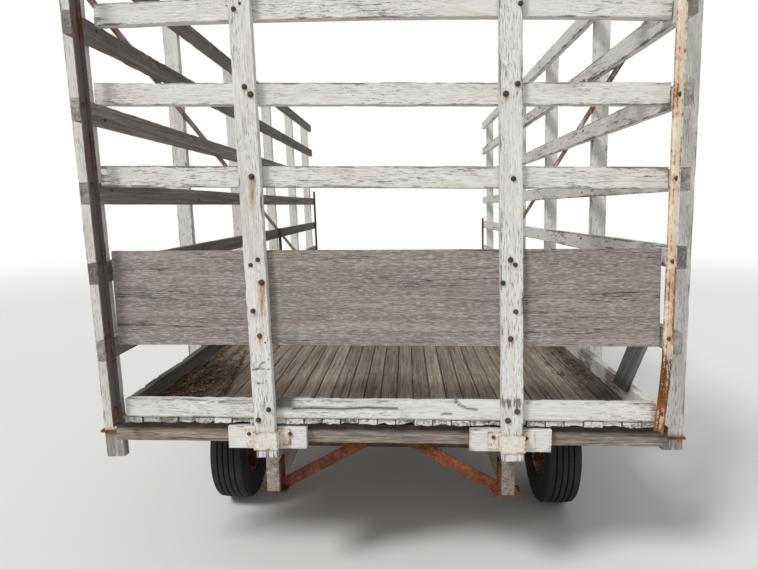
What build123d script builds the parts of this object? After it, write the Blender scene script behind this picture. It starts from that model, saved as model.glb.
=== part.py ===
from build123d import *
import os
from math import acos, asin, atan2, ceil, cos, degrees, hypot, radians, sin, tan

# Hay wagon: a plank bed with slatted racks on a four-wheel farm running gear.
# Millimetres. +X is the right side seen from the rear end, +Y points forward to
# the tongue, +Z is up, and the origin is on the ground under the middle.

# Bed
DECK_LENGTH = 5486.0
DECK_WIDTH = 2286.0
DECK_HEIGHT = 880.0
DECK_BOARD_FACE = 79.4
DECK_BOARD_THICKNESS = 32.0
DECK_GROOVE_WIDTH = 5.0
DECK_GROOVE_DEPTH = 7.0
# How far each board's rear end is worn back, repeated across the bed
DECK_END_WEAR = (0.5, 7.5, 3.5, 11.5, 2.5, 5.5, 9.5, 1.5, 6.5)
LUMBER_THICKNESS = 38.0
LUMBER_WIDTH = 89.0
CURB_HEIGHT = 84.0
REAR_CURB_INSET = 8.0
CROSS_SILL_COUNT = 10
REAR_SILL_RECESS = 32.0
MAIN_SILL_SPACING = 1039.0
MAIN_SILL_WIDTH = 57.0
MAIN_SILL_HEIGHT = 233.0

# The main sills and the gear stand this far to the right under the bed
GEAR_SHIFT = 18.0

# Racks
RACK_FIRST_BOARD = 280.0
RACK_BOARD_PITCH = 330.0
RACK_REAR_PROJECTION = 55.0
RACK_TOP_MARGIN = 20.0
RACK_LEAN = 1.33
RACK_GAP = 10.0
POST_SEAT_GAP = 0.5
# How far the side posts run down past the deck, on the left and on the right
SIDE_POST_DROPS = {-1: 236.0, 1: 168.0}
# The first and last side posts, and how far each one stands off its even place
FIRST_POST_PLACE = 105.0
LAST_POST_INSET = 116.0
SIDE_POST_OFFSETS = (0.0, -48.0, -21.0, 56.0, 63.0, 0.0)
# How far the rear end of each side board has risen, from the lowest board up
BOARD_RISES = {-1: (-17.0, -17.0, -17.0, -17.0, -17.0, -17.0), 1: (30.0, 45.0, 18.0, 10.0, 0.0, 0.0)}
REAR_RACK_TILT = 2.0
# Rear posts: side, place of the middle at deck level, lean to the left in degrees
REAR_POSTS = (
    (-1, 510.0, 1.8),
    (1, 537.0, 1.33),
)
REAR_POST_WIDTH = 91.0
REAR_POST_DROP = 160.0
REAR_POST_RAISE = 38.0
# Rear slats: left end above the side board of its level, fall to the right end, and how
# far each end stands in from the side boards, left and right
REAR_SLATS = (
    (58.0, 32.0, 5.0, 5.0),
    (63.0, 41.0, 5.0, 5.0),
    (44.0, 26.0, 31.0, 5.0),
    (38.0, 23.0, 12.0, 5.0),
)
REAR_SLAT_BOW = 18.0
BOWED_SLAT = 2
PANEL_HEIGHT = 406.0
PANEL_BOTTOM = 324.0
PANEL_THICKNESS = 12.0
PANEL_INSET = 24.0

# Rack steel
UPRIGHT_WIDTH = 45.0
UPRIGHT_DEPTH = 20.0
UPRIGHT_WALL = 5.0
UPRIGHT_GAP = 4.0
UPRIGHT_DROP = 26.0
# Short inner uprights: places forward of the deck's rear end and behind its front end
MIDDLE_UPRIGHT_PLACE = 3170.0
FRONT_UPRIGHT_INSET = 136.0
# Side, place forward of the deck's rear end, height above the deck
SHORT_UPRIGHTS = (
    (-1, MIDDLE_UPRIGHT_PLACE, 700.0),
    (1, MIDDLE_UPRIGHT_PLACE, 700.0),
    (-1, DECK_LENGTH - FRONT_UPRIGHT_INSET, 1120.0),
    (1, DECK_LENGTH - FRONT_UPRIGHT_INSET, 745.0),
)
STRAP_WIDTH = 40.0
STRAP_THICKNESS = 6.0
STRAP_REAR_HEIGHT = 1845.0
STRAP_REAR_PLACE = 30.0
STRAP_FRONT_INSET = 336.0
STRAP_FRONT_HEIGHT = 45.0
LOOP_WALL = 6.0
LOOP_HEIGHT = 10.0
LOOP_LIFT = 6.0
LOOP_ROOM = 3.0
LOOP_SLANT = 1.0
POCKET_WALL = 5.0
POCKET_HEIGHT = 76.0
POCKET_ROOM = 1.0
POCKET_TOP_GAP = 8.0
REAR_BLOCK_LENGTH = 345.0
REAR_BLOCK_HEIGHT = 100.0
REAR_BLOCK_PROUD = 3.0
REAR_POCKET_EAR = 52.0

# Brace between the rear ends of the main sills
V_BRACE_WIDTH = 51.0
V_BRACE_FLANGE = 40.0
V_BRACE_WALL = 6.0
V_BRACE_HEEL = 2.0
V_BRACE_FOOT = 35.0
V_BRACE_TOP_GAP = 10.0
V_BRACE_GUSSET = 47.0
V_BRACE_SHOE_LENGTH = 90.0
V_BRACE_SHOE_WIDTH = 122.0
V_BRACE_EAR_HEIGHT = 135.0

# Knee plank from the inside of the right curb back to the rear panel
PLANK_WIDTH = 119.0
PLANK_THICKNESS = 19.0
PLANK_PLACE = 213.0
PLANK_LAP = 25.0
PLANK_LEAN = 34.0
PLANK_GAP = 1.0

# Running gear
REAR_AXLE_PLACE = 1000.0
FRONT_AXLE_PLACE = 4600.0
TRACK = 1905.0
TYRE_DIAMETER = 710.0
TYRE_WIDTH = 196.0
RIM_DIAMETER = 386.0
RIM_WIDTH = 150.0
RIM_WALL = 7.0
# Sides of the wheel, of its hub and of the gear's pins and barrels
WHEEL_SIDES = 44
HUB_SIDES = 24
ROUND_SIDES = 20
TYRE_SEAT_GAP = 0.5
# Tyre outline as shares of its half width and of its wall's height
TREAD_SHARE = 0.70
SHOULDER_SHARE = 0.92
SHOULDER_DROP = 0.10
BULGE_DROP = 0.45
BEAD_INSET = 4.0
RIM_DISH = 8.0
RIM_DISC = 7.0
RIM_CROWN = 22.0
RIM_CROWN_SHARE = 0.5
HUB_RADIUS = 50.0
HUB_INNER = 62.0
HUB_OUTER = 66.0
HUB_CAP_RADIUS = 30.0
HUB_CAP_LENGTH = 16.0
HUB_CAP_WALL = 6.0
SPINDLE_RADIUS = 24.0
SPINDLE_CLEARANCE = 1.5
SPINDLE_END_GAP = 8.0
AXLE_HEIGHT = 76.0
AXLE_DEPTH = 76.0
AXLE_WALL = 8.0
BOLSTER_HEIGHT = 66.0
STAKE_THICKNESS = 10.0
STAKE_GAP = 2.0
STAKE_RISE = 150.0
BOLSTER_END = 25.0
RISER_WIDTH = 80.0
RISER_INNER = 45.0
REACH_SIZE = 64.0
REACH_WALL = 6.0
REACH_CLEARANCE = 2.0
REACH_REAR_OVERHANG = 80.0
REACH_TUBE_LENGTH = 2000.0
REACH_BAR_LAP = 500.0
HOUND_LENGTH = 900.0
HOUND_SPREAD = 430.0
HOUND_WIDTH = 50.0
HOUND_THICKNESS = 12.0

# Steering
KINGPIN_SPACING = 1600.0
KINGPIN_RADIUS = 14.0
PIN_CLEARANCE = 1.0
BARREL_RADIUS = 28.0
BARREL_HEIGHT = 100.0
YOKE_GAP = 2.0
YOKE_THICKNESS = 14.0
YOKE_PLATE = 15.0
YOKE_BARREL_GAP = 12.0
YOKE_RIM = 2.0
PIN_STUB = 4.0
COLLAR_STEP = 8.0
HEAD_PLACE = 120.0
HEAD_PIN_RADIUS = 16.0
HEAD_BARREL_RADIUS = 32.0
HEAD_PLATE_RIM = 6.0
HEAD_PLATE_THICKNESS = 12.0
ARM_FORWARD = 150.0
ARM_OUTWARD = 25.0
ARM_WIDTH = 36.0
ARM_THICKNESS = 16.0
TIE_PIN_RADIUS = 9.0
TIE_EYE_RADIUS = 20.0
TIE_ROD_RADIUS = 12.0
TIE_GAP = 4.0
OPEN_EYE_CLEARANCE = 2.0

# Tongue
TONGUE_PIN_PLACE = 400.0
TONGUE_PIN_RADIUS = 12.0
TONGUE_PIN_STUB = 6.0
TONGUE_LENGTH = 1892.0
TONGUE_WIDTH = 64.0
TONGUE_HEIGHT = 76.0
TONGUE_WALL = 6.0
TONGUE_SIDE_GAP = 8.0
CLEVIS_THICKNESS = 16.0
CLEVIS_OPENING = 40.0
CLEVIS_LENGTH = 150.0
CLEVIS_EMBED = 90.0
HITCH_HOLE_RADIUS = 14.0
CHEEK_THICKNESS = 12.0
CHEEK_RADIUS = 34.0
# How far a cutting tool runs past the face that it opens
PAST = 1.0

# Worked-out levels and places
wheel_z = TYRE_DIAMETER / 2
deck_top = DECK_HEIGHT
deck_under = deck_top - DECK_BOARD_THICKNESS
sill_under = deck_under - LUMBER_WIDTH
main_under = sill_under - MAIN_SILL_HEIGHT
bolster_under = main_under - BOLSTER_HEIGHT
axle_top = wheel_z + AXLE_HEIGHT / 2
half_reach = REACH_SIZE / 2
half_bar = half_reach - REACH_WALL - REACH_CLEARANCE
reach_z = axle_top + half_reach
spindle_tip = TRACK / 2 + HUB_OUTER - HUB_CAP_WALL - SPINDLE_END_GAP
hub_face = TRACK / 2 - HUB_INNER
king_x = KINGPIN_SPACING / 2
half_deck = DECK_WIDTH / 2
board_in = half_deck + UPRIGHT_DEPTH + UPRIGHT_GAP
board_out = board_in + LUMBER_THICKNESS
post_in = board_out + RACK_GAP
post_out = post_in + LUMBER_WIDTH
post_foot_x = (post_in + post_out) / 2
top_board = RACK_FIRST_BOARD + (len(BOARD_RISES[1]) - 1) * RACK_BOARD_PITCH
rack_top = top_board + LUMBER_WIDTH + RACK_TOP_MARGIN
clevis_half = CLEVIS_OPENING / 2 + CLEVIS_THICKNESS
clevis_radius = TONGUE_WIDTH / 2
tongue_reach = TONGUE_LENGTH + clevis_radius
tongue_drop = degrees(
    asin(wheel_z / hypot(tongue_reach, clevis_half)) - atan2(clevis_half, tongue_reach)
)
tongue_pin_y = FRONT_AXLE_PLACE + TONGUE_PIN_PLACE
tongue_tip = tongue_pin_y + tongue_reach * cos(radians(tongue_drop))
# The deck's rear end lies this far back, so that the whole wagon is centred on Y
rear = -(tongue_tip - RACK_REAR_PROJECTION) / 2
rear_axle_y = rear + REAR_AXLE_PLACE
front_axle_y = rear + FRONT_AXLE_PLACE
deck_front = rear + DECK_LENGTH
post_step = (DECK_LENGTH - LAST_POST_INSET - FIRST_POST_PLACE) / (len(SIDE_POST_OFFSETS) - 1)
post_places = [FIRST_POST_PLACE + i * post_step + off for i, off in enumerate(SIDE_POST_OFFSETS)]
head_y = front_axle_y + HEAD_PLACE


def block(x0, x1, y0, y1, z0, z1):
    """A box between two opposite corners."""
    centre = Pos((x0 + x1) / 2, (y0 + y1) / 2, (z0 + z1) / 2)
    return centre * Box(abs(x1 - x0), abs(y1 - y0), abs(z1 - z0))


def prism(points, plane, depth):
    """A straight-sided outline extruded from its plane."""
    outline = make_face(Polyline(*points, close=True))
    return extrude(plane * outline, depth)


def disc(radius, sides):
    """A many-sided disc whose flats lie at the radius, one of them square to each axis."""
    return RegularPolygon(radius, sides, major_radius=False, rotation=180 / sides)


def post_z(radius, z0, z1, x=0.0, y=0.0):
    """A round bar standing from z0 to z1."""
    return extrude(Pos(x, y, z0) * disc(radius, ROUND_SIDES), z1 - z0)


def bar_x(radius, x0, x1, y, z):
    """A round bar lying across the wagon from x0 to x1."""
    return Pos(x0, y, z) * Rot(0, 90, 0) * extrude(disc(radius, ROUND_SIDES), x1 - x0)


def turned(sides, *rings):
    """A body about the X axis through rings given as place and radius."""
    discs = [Pos(x, 0, 0) * Rot(0, 90, 0) * disc(radius, sides) for x, radius in rings]
    return loft(discs, ruled=True)


def flip(shape):
    """The same piece on the other side of the wagon."""
    return mirror(shape, about=Plane.YZ)


def on_side(shape, side):
    """A right-hand piece put on its side, -1 for left."""
    return shape if side > 0 else flip(shape)


def leaned(shape, foot_x, lean=RACK_LEAN):
    """Lean a rack piece to the left about its own foot at deck level."""
    return shape.rotate(Axis((foot_x, 0, deck_top), (0, 1, 0)), -lean)


def tilted(shape):
    """Tip a piece of the rear rack forward about the top of the rear curb."""
    hinge = Axis((0, rear - POST_SEAT_GAP, deck_top + CURB_HEIGHT), (1, 0, 0))
    return shape.rotate(hinge, -REAR_RACK_TILT)


def save(name, *shapes):
    """Write one node as its solids."""
    solids = []
    for shape in shapes:
        solids.extend(shape.solids())
    whole = solids[0] if len(solids) == 1 else Compound(solids)
    export_step(whole, f"parts/{name}.step")
    print(name, len(solids), round(sum(s.volume for s in solids) / 1e6, 3))


def save_gear(name, *shapes):
    """Write one node that stands off the bed's middle with the gear."""
    save(name, *[Pos(GEAR_SHIFT, 0, 0) * shape for shape in shapes])


os.makedirs("parts", exist_ok=True)


# Deck: tongued and grooved boards along the bed, their rear ends worn unevenly
def build_deck():
    count = ceil(DECK_WIDTH / DECK_BOARD_FACE)
    joints = [-half_deck + DECK_BOARD_FACE * i for i in range(1, count)]
    section = [(-half_deck, 0.0)]
    for joint in joints:
        section.append((joint - DECK_GROOVE_WIDTH / 2, 0.0))
        section.append((joint, -DECK_GROOVE_DEPTH))
        section.append((joint + DECK_GROOVE_WIDTH / 2, 0.0))
    section.append((half_deck, 0.0))
    section.append((half_deck, -DECK_BOARD_THICKNESS))
    section.append((-half_deck, -DECK_BOARD_THICKNESS))
    plane = Plane(origin=(0, deck_front, deck_top), x_dir=(1, 0, 0), z_dir=(0, -1, 0))
    boards = prism(section, plane, DECK_LENGTH)
    worn = [(-half_deck - PAST, -PAST)]
    edges = [-half_deck] + joints + [half_deck]
    for i in range(count):
        wear = DECK_END_WEAR[i % len(DECK_END_WEAR)]
        worn.append((edges[i], wear))
        worn.append((edges[i + 1], wear))
    worn.append((half_deck + PAST, -PAST))
    plan = Plane(origin=(0, rear, deck_under - PAST))
    return boards - prism(worn, plan, DECK_BOARD_THICKNESS + 2 * PAST)


save("deck_boards", build_deck())


# Cross sills on edge, the rearmost set back under the board ends
def build_cross_sills():
    first = rear + REAR_SILL_RECESS
    last = deck_front - LUMBER_THICKNESS
    step = (last - first) / (CROSS_SILL_COUNT - 1)
    sills = []
    for i in range(CROSS_SILL_COUNT):
        y = first + step * i
        half = board_out if i == 0 else board_in
        sills.append(block(-half, half, y, y + LUMBER_THICKNESS, sill_under, deck_under))
    return sills


save("cross_sills", *build_cross_sills())

sill_in = (MAIN_SILL_SPACING - MAIN_SILL_WIDTH) / 2
sill_out = (MAIN_SILL_SPACING + MAIN_SILL_WIDTH) / 2
sill_rear = rear + REAR_SILL_RECESS
main_sill = block(sill_in, sill_out, sill_rear, deck_front, main_under, sill_under)
save_gear("main_sills", main_sill, flip(main_sill))

rail_rear = rear + REAR_SILL_RECESS + LUMBER_THICKNESS
side_rail = block(board_in, board_out, rail_rear, deck_front, sill_under, deck_under)
save("side_rails", side_rail, flip(side_rail))

curb_half = half_deck - REAR_CURB_INSET
curb_top = deck_top + CURB_HEIGHT
curb_front = rear + LUMBER_THICKNESS
save("rear_curb", block(-curb_half, curb_half, rear, curb_front, deck_top, curb_top))
curb_in = half_deck - LUMBER_THICKNESS
side_curb = block(curb_in, half_deck, curb_front, deck_front, deck_top, curb_top)
save("side_curbs", side_curb, flip(side_curb))


# Side racks: posts outside, boards inside, a steel strap between them
def build_side(side):
    foot = side * post_foot_x
    posts = []
    for place in post_places:
        y = rear + place
        low = deck_top - SIDE_POST_DROPS[side]
        high = deck_top + rack_top
        post = block(post_in, post_out, y, y + LUMBER_THICKNESS, low, high)
        posts.append(leaned(on_side(post, side), foot))
    boards = []
    back = rear - RACK_REAR_PROJECTION
    ahead = back + DECK_LENGTH
    for i, rise in enumerate(BOARD_RISES[side]):
        z = deck_top + RACK_FIRST_BOARD + i * RACK_BOARD_PITCH
        board = block(board_in, board_out, back, ahead, z, z + LUMBER_WIDTH)
        board = board.rotate(Axis((0, ahead, z), (1, 0, 0)), -degrees(atan2(rise, DECK_LENGTH)))
        boards.append(leaned(on_side(board, side), foot))
    strap_front = DECK_LENGTH - STRAP_FRONT_INSET
    run = strap_front - STRAP_REAR_PLACE
    rise = STRAP_REAR_HEIGHT - STRAP_FRONT_HEIGHT
    slope = degrees(atan2(rise, run))
    x = board_out + RACK_GAP / 2
    y = rear + (STRAP_REAR_PLACE + strap_front) / 2
    z = deck_top + (STRAP_REAR_HEIGHT + STRAP_FRONT_HEIGHT) / 2
    bar = Box(STRAP_THICKNESS, hypot(run, rise), STRAP_WIDTH)
    strap = Pos(x, y, z) * Rot(-slope, 0, 0) * bar
    return posts, boards, leaned(on_side(strap, side), foot)


posts_l, boards_l, strap_l = build_side(-1)
posts_r, boards_r, strap_r = build_side(1)
save("side_posts_l", *posts_l)
save("side_posts_r", *posts_r)
save("side_boards_l", *boards_l)
save("side_boards_r", *boards_r)
save("brace_straps", strap_l, strap_r)


# Angle-iron uprights on the inner faces of the side boards, the front leg turned inward
def build_upright(side, place, low, high):
    tip = board_in - UPRIGHT_DEPTH
    web = board_in - UPRIGHT_WALL
    y0 = place
    y1 = place + UPRIGHT_WIDTH
    outline = [
        (board_in, y0),
        (web, y0),
        (web, y1 - UPRIGHT_WALL),
        (tip, y1 - UPRIGHT_WALL),
        (tip, y1),
        (board_in, y1),
    ]
    plane = Plane(origin=(0, rear, deck_top + low))
    upright = prism(outline, plane, high - low)
    return leaned(on_side(upright, side), side * post_foot_x)


corner = [build_upright(s, -RACK_REAR_PROJECTION, -UPRIGHT_DROP, rack_top) for s in (-1, 1)]
save("corner_uprights", *corner)
short = [build_upright(s, place, -UPRIGHT_DROP, high) for s, place, high in SHORT_UPRIGHTS]
save("short_uprights", *short)


# Rear rack: two posts behind the bed's end, slats and a plywood panel on their front
def bowed_slat(half):
    """A slat about its own middle that has sprung upward."""
    high = LUMBER_WIDTH
    low_edge = ThreePointArc((-half, 0), (0, REAR_SLAT_BOW), (half, 0))
    high_edge = ThreePointArc((half, high), (0, high + REAR_SLAT_BOW), (-half, high))
    ends = [Line((half, 0), (half, high)), Line((-half, high), (-half, 0))]
    plane = Plane(origin=(0, rear, 0), x_dir=(1, 0, 0), z_dir=(0, -1, 0))
    return extrude(plane * make_face([low_edge, ends[0], high_edge, ends[1]]), -LUMBER_THICKNESS)


def build_rear_rack():
    posts = []
    for side, place, lean in REAR_POSTS:
        x = side * place
        low = deck_top - REAR_POST_DROP
        high = deck_top + rack_top + REAR_POST_RAISE
        half = REAR_POST_WIDTH / 2
        front = rear - POST_SEAT_GAP
        post = block(x - half, x + half, front - LUMBER_THICKNESS, front, low, high)
        posts.append(tilted(leaned(post, x, lean)))
    lowest = len(BOARD_RISES[1]) - len(REAR_SLATS)
    slats = []
    for i, (lift, fall, inset_l, inset_r) in enumerate(REAR_SLATS):
        z = RACK_FIRST_BOARD + (lowest + i) * RACK_BOARD_PITCH + lift - fall / 2
        shift = (inset_l - inset_r) / 2 - z * tan(radians(RACK_LEAN))
        half = board_in - (inset_l + inset_r) / 2
        if i == BOWED_SLAT:
            slat = bowed_slat(half)
        else:
            slat = block(-half, half, rear, rear + LUMBER_THICKNESS, 0, LUMBER_WIDTH)
        slope = degrees(atan2(fall, 2 * half))
        slats.append(tilted(Pos(shift, 0, deck_top + z) * Rot(0, slope, 0) * slat))
    # The panel's side edges follow the lean of the corner uprights
    half = board_in - PANEL_INSET
    corners = []
    for edge, z in ((-half, 0), (half, 0), (half, PANEL_HEIGHT), (-half, PANEL_HEIGHT)):
        height = PANEL_BOTTOM + z
        corners.append((edge - height * tan(radians(RACK_LEAN)), height))
    plane = Plane(origin=(0, rear, deck_top), x_dir=(1, 0, 0), z_dir=(0, -1, 0))
    return posts, slats, tilted(prism(corners, plane, -PANEL_THICKNESS))


rear_posts, rear_slats, rear_panel = build_rear_rack()
save("rear_posts", *rear_posts)
save("rear_slats", *rear_slats)
save("rear_panel", rear_panel)


# Stake pockets: flat-bar loops on the side rails, hat-shaped straps for the rear posts
def build_side_loop(place):
    y0 = rear + place - LOOP_ROOM
    y1 = rear + place + LUMBER_THICKNESS + LOOP_ROOM
    z0 = sill_under + LOOP_LIFT
    z1 = z0 + LOOP_HEIGHT
    wall = LOOP_WALL
    hole_in = board_out + wall
    hole_out = post_out + LOOP_ROOM + LOOP_SLANT
    loop = block(board_out, hole_out + wall, y0 - wall, y1 + wall, z0, z1)
    return loop - block(hole_in, hole_out, y0, y1, z0 - PAST, z1 + PAST)


loops = [build_side_loop(place) for place in post_places]
save("side_pockets", *loops, *[flip(loop) for loop in loops])

block_top = deck_under - POCKET_TOP_GAP / 2
block_rear = rear - REAR_BLOCK_PROUD
rear_blocks = []
for side, place, lean in REAR_POSTS:
    x = side * place
    half = REAR_BLOCK_LENGTH / 2
    low = block_top - REAR_BLOCK_HEIGHT
    rear_blocks.append(block(x - half, x + half, block_rear, sill_rear, low, block_top))
save("rear_blocks", *rear_blocks)


def build_rear_pocket(x, lean):
    half = REAR_POST_WIDTH / 2 + POCKET_ROOM
    depth = LUMBER_THICKNESS + REAR_POST_DROP * sin(radians(REAR_RACK_TILT)) + POCKET_ROOM
    y1 = block_rear
    outer = y1 - depth - POCKET_WALL
    z1 = block_top - POCKET_TOP_GAP
    z0 = z1 - POCKET_HEIGHT
    ear = half + REAR_POCKET_EAR
    hat = block(x - half - POCKET_WALL, x + half + POCKET_WALL, outer, y1, z0, z1)
    hat += block(x - ear, x + ear, y1 - POCKET_WALL, y1, z0, z1)
    room = block(x - half, x + half, outer + POCKET_WALL, y1 + PAST, z0 - PAST, z1 + PAST)
    return leaned(hat - room, x, lean)


save("rear_pockets", *[build_rear_pocket(side * place, lean) for side, place, lean in REAR_POSTS])


# Inverted V brace of angle iron in front of the rear sill: its legs bend flat at the feet,
# which stand on shoes under the ends of the main sills
def build_v_brace():
    y0 = sill_rear + LUMBER_THICKNESS
    foot = sill_in
    bend = foot - V_BRACE_FOOT
    heel = main_under + V_BRACE_HEEL
    rise = deck_under - V_BRACE_TOP_GAP - heel
    # The slope at which the legs' upper edges meet just under the deck
    slope = acos(V_BRACE_WIDTH / hypot(rise, bend)) - atan2(bend, rise)
    apex = heel + bend * tan(slope)
    plane = Plane(origin=(0, y0, 0), x_dir=(1, 0, 0), z_dir=(0, -1, 0))
    leg = None
    for width, depth in ((V_BRACE_WIDTH, V_BRACE_WALL), (V_BRACE_WALL, V_BRACE_FLANGE)):
        outline = [
            (foot, heel),
            (bend, heel),
            (0.0, apex),
            (0.0, apex + width / cos(slope)),
            (bend + width * tan(slope / 2), heel + width),
            (foot, heel + width),
        ]
        flange = prism(outline, plane, -depth)
        leg = flange if leg is None else leg + flange
    mid = (sill_in + sill_out) / 2
    shoe_half = V_BRACE_SHOE_WIDTH / 2
    y1 = sill_rear + V_BRACE_SHOE_LENGTH
    low = main_under - V_BRACE_WALL
    shoe = block(mid - shoe_half, mid + shoe_half, sill_rear, y1, low, main_under)
    high = main_under + V_BRACE_EAR_HEIGHT
    shoe += block(foot - V_BRACE_WALL, foot, sill_rear, y1, low, high)
    gusset = [
        (sill_out, main_under),
        (mid + shoe_half, main_under),
        (sill_out, main_under + V_BRACE_GUSSET),
    ]
    face = Plane(origin=(0, sill_rear, 0), x_dir=(1, 0, 0), z_dir=(0, -1, 0))
    right = leg + shoe + prism(gusset, face, -V_BRACE_WALL)
    return right + flip(right)


save_gear("rear_v_brace", build_v_brace())


# Knee plank: laps the right curb with a level foot, and its top is cut to the panel's tilt
def build_corner_plank():
    foot = CURB_HEIGHT - PLANK_LAP
    lean = tan(radians(PLANK_LEAN))
    tilt = tan(radians(REAR_RACK_TILT))
    # The panel's front face and its gap, at the hinge's height
    face = (PANEL_THICKNESS + POST_SEAT_GAP) / cos(radians(REAR_RACK_TILT)) - POST_SEAT_GAP
    face += PLANK_GAP
    outline = []
    for place in (PLANK_PLACE, PLANK_PLACE + PLANK_WIDTH / cos(radians(PLANK_LEAN))):
        high = (place - face + foot * lean + CURB_HEIGHT * tilt) / (lean + tilt)
        ends = [(place, foot), (face + (high - CURB_HEIGHT) * tilt, high)]
        outline.extend(ends if not outline else reversed(ends))
    plane = Plane(origin=(curb_in, rear, deck_top), x_dir=(0, 1, 0), z_dir=(1, 0, 0))
    return prism(outline, plane, -PLANK_THICKNESS)


save("corner_plank", build_corner_plank())


# Wheels: ribless outline of a tyre, and a dished rim with its hub
def build_tyre():
    outer = TYRE_DIAMETER / 2
    seat = RIM_DIAMETER / 2 + TYRE_SEAT_GAP
    half = TYRE_WIDTH / 2
    wall = outer - seat
    bead = RIM_WIDTH / 2 - BEAD_INSET
    right = [
        (half * TREAD_SHARE, outer),
        (half * SHOULDER_SHARE, outer - wall * SHOULDER_DROP),
        (half, outer - wall * BULGE_DROP),
        (bead, seat),
    ]
    left = [(-x, radius) for x, radius in reversed(right)]
    return turned(WHEEL_SIDES, *left, *right) - turned(WHEEL_SIDES, (-bead, seat), (bead, seat))


def build_rim():
    seat = RIM_DIAMETER / 2
    half = RIM_WIDTH / 2
    inner = seat - RIM_WALL
    waist = inner * RIM_CROWN_SHARE
    back = RIM_DISH
    face = RIM_DISH + RIM_DISC
    rim = turned(WHEEL_SIDES, (-half, seat), (half, seat))
    rim -= turned(WHEEL_SIDES, (-half - PAST, inner), (half + PAST, inner))
    dish = turned(WHEEL_SIDES, (back, seat - RIM_WALL / 2), (face, seat - RIM_WALL / 2))
    dish += turned(WHEEL_SIDES, (face, inner), (face + RIM_CROWN, waist))
    dish -= turned(WHEEL_SIDES, (back, inner), (back + RIM_CROWN, waist))
    hub = turned(HUB_SIDES, (-HUB_INNER, HUB_RADIUS), (HUB_OUTER, HUB_RADIUS))
    hub += turned(HUB_SIDES, (HUB_OUTER, HUB_CAP_RADIUS), (HUB_OUTER + HUB_CAP_LENGTH, HUB_CAP_RADIUS))
    bore = SPINDLE_RADIUS + SPINDLE_CLEARANCE
    plug = HUB_OUTER - HUB_CAP_WALL
    return rim + dish + hub - turned(HUB_SIDES, (-HUB_INNER - PAST, bore), (plug, bore))


tyre = build_tyre()
rim = build_rim()
# Wheel table: name, side, place along the wagon
WHEELS = (
    ("rl", -1, rear_axle_y),
    ("rr", 1, rear_axle_y),
    ("fl", -1, front_axle_y),
    ("fr", 1, front_axle_y),
)
for name, side, y in WHEELS:
    spot = Pos(side * TRACK / 2, y, wheel_z)
    save_gear(f"tyre_{name}", spot * on_side(tyre, side))
    save_gear(f"rim_{name}", spot * on_side(rim, side))


# Axles and bolsters
def box_beam(half_length, y):
    """A square tube across the wagon, closed by its end plates."""
    half = AXLE_DEPTH / 2
    low = wheel_z - AXLE_HEIGHT / 2
    return block(-half_length, half_length, y - half, y + half, low, axle_top)


def build_rear_axle():
    beam = box_beam(hub_face - SPINDLE_END_GAP, rear_axle_y)
    return beam + bar_x(SPINDLE_RADIUS, -spindle_tip, spindle_tip, rear_axle_y, wheel_z)


def build_bolster(y, riser_width):
    half = sill_out + STAKE_GAP + STAKE_THICKNESS
    end = half + BOLSTER_END
    wall = AXLE_WALL
    y0 = y - AXLE_DEPTH / 2
    y1 = y + AXLE_DEPTH / 2
    web = main_under - wall
    beam = block(-end, end, y0, y1, bolster_under, main_under)
    beam -= block(-end - PAST, end + PAST, y0 + wall, y1 - wall, bolster_under - PAST, web)
    stake = block(half - STAKE_THICKNESS, half, y0, y1, web, main_under + STAKE_RISE)
    beam += stake + flip(stake)
    riser = block(RISER_INNER, RISER_INNER + riser_width, y0, y1, axle_top, bolster_under)
    riser += block(RISER_INNER, RISER_INNER + wall, y0, y1, axle_top, web)
    return beam + riser + flip(riser)


save_gear("rear_axle", build_rear_axle())
save_gear("rear_bolster", build_bolster(rear_axle_y, RISER_WIDTH))
save_gear("front_bolster", build_bolster(front_axle_y, RISER_WIDTH / 2))


# Front axle: a beam with a kingpin yoke at each end and plates that hold the steering head
def build_front_axle():
    plate_out = king_x - BARREL_RADIUS - YOKE_BARREL_GAP
    plate_in = plate_out - YOKE_PLATE
    ear_low = wheel_z - BARREL_HEIGHT / 2 - YOKE_GAP
    ear_high = wheel_z + BARREL_HEIGHT / 2 + YOKE_GAP
    y = front_axle_y
    half = BARREL_RADIUS + YOKE_RIM
    low = ear_low - YOKE_THICKNESS
    high = ear_high + YOKE_THICKNESS
    yoke = block(plate_in, plate_out, y - half, y + half, low, high)
    for z in (low, ear_high):
        yoke += block(plate_in, king_x, y - half, y + half, z, z + YOKE_THICKNESS)
        yoke += post_z(half, z, z + YOKE_THICKNESS, king_x, y)
    yoke += post_z(KINGPIN_RADIUS, low - PIN_STUB, high + PIN_STUB, king_x, y)
    axle = box_beam(plate_in, y) + yoke + flip(yoke)
    head_half = HEAD_BARREL_RADIUS + HEAD_PLATE_RIM
    beam_low = wheel_z - AXLE_HEIGHT / 2
    plate_low = beam_low - HEAD_PLATE_THICKNESS
    # The upper plate is as thick as the step from the reach tube down to its bar
    plate_high = axle_top + half_reach - half_bar
    for z0, z1 in ((plate_low, beam_low), (axle_top, plate_high)):
        plate = block(-head_half, head_half, y - AXLE_DEPTH / 2, head_y, z0, z1)
        axle += plate + post_z(head_half, z0, z1, 0, head_y)
    return axle + post_z(HEAD_PIN_RADIUS, plate_low - PIN_STUB, plate_high, 0, head_y)


save_gear("front_axle", build_front_axle())


# Reach pole: a tube from the rear axle, and a bar that slides in it from the front axle
reach_rear = rear_axle_y - REACH_REAR_OVERHANG
tube_front = reach_rear + REACH_TUBE_LENGTH


def reach_part(half, y0, y1):
    """A square length along the reach's own centre line."""
    return block(-half, half, y0, y1, reach_z - half, reach_z + half)


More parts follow.
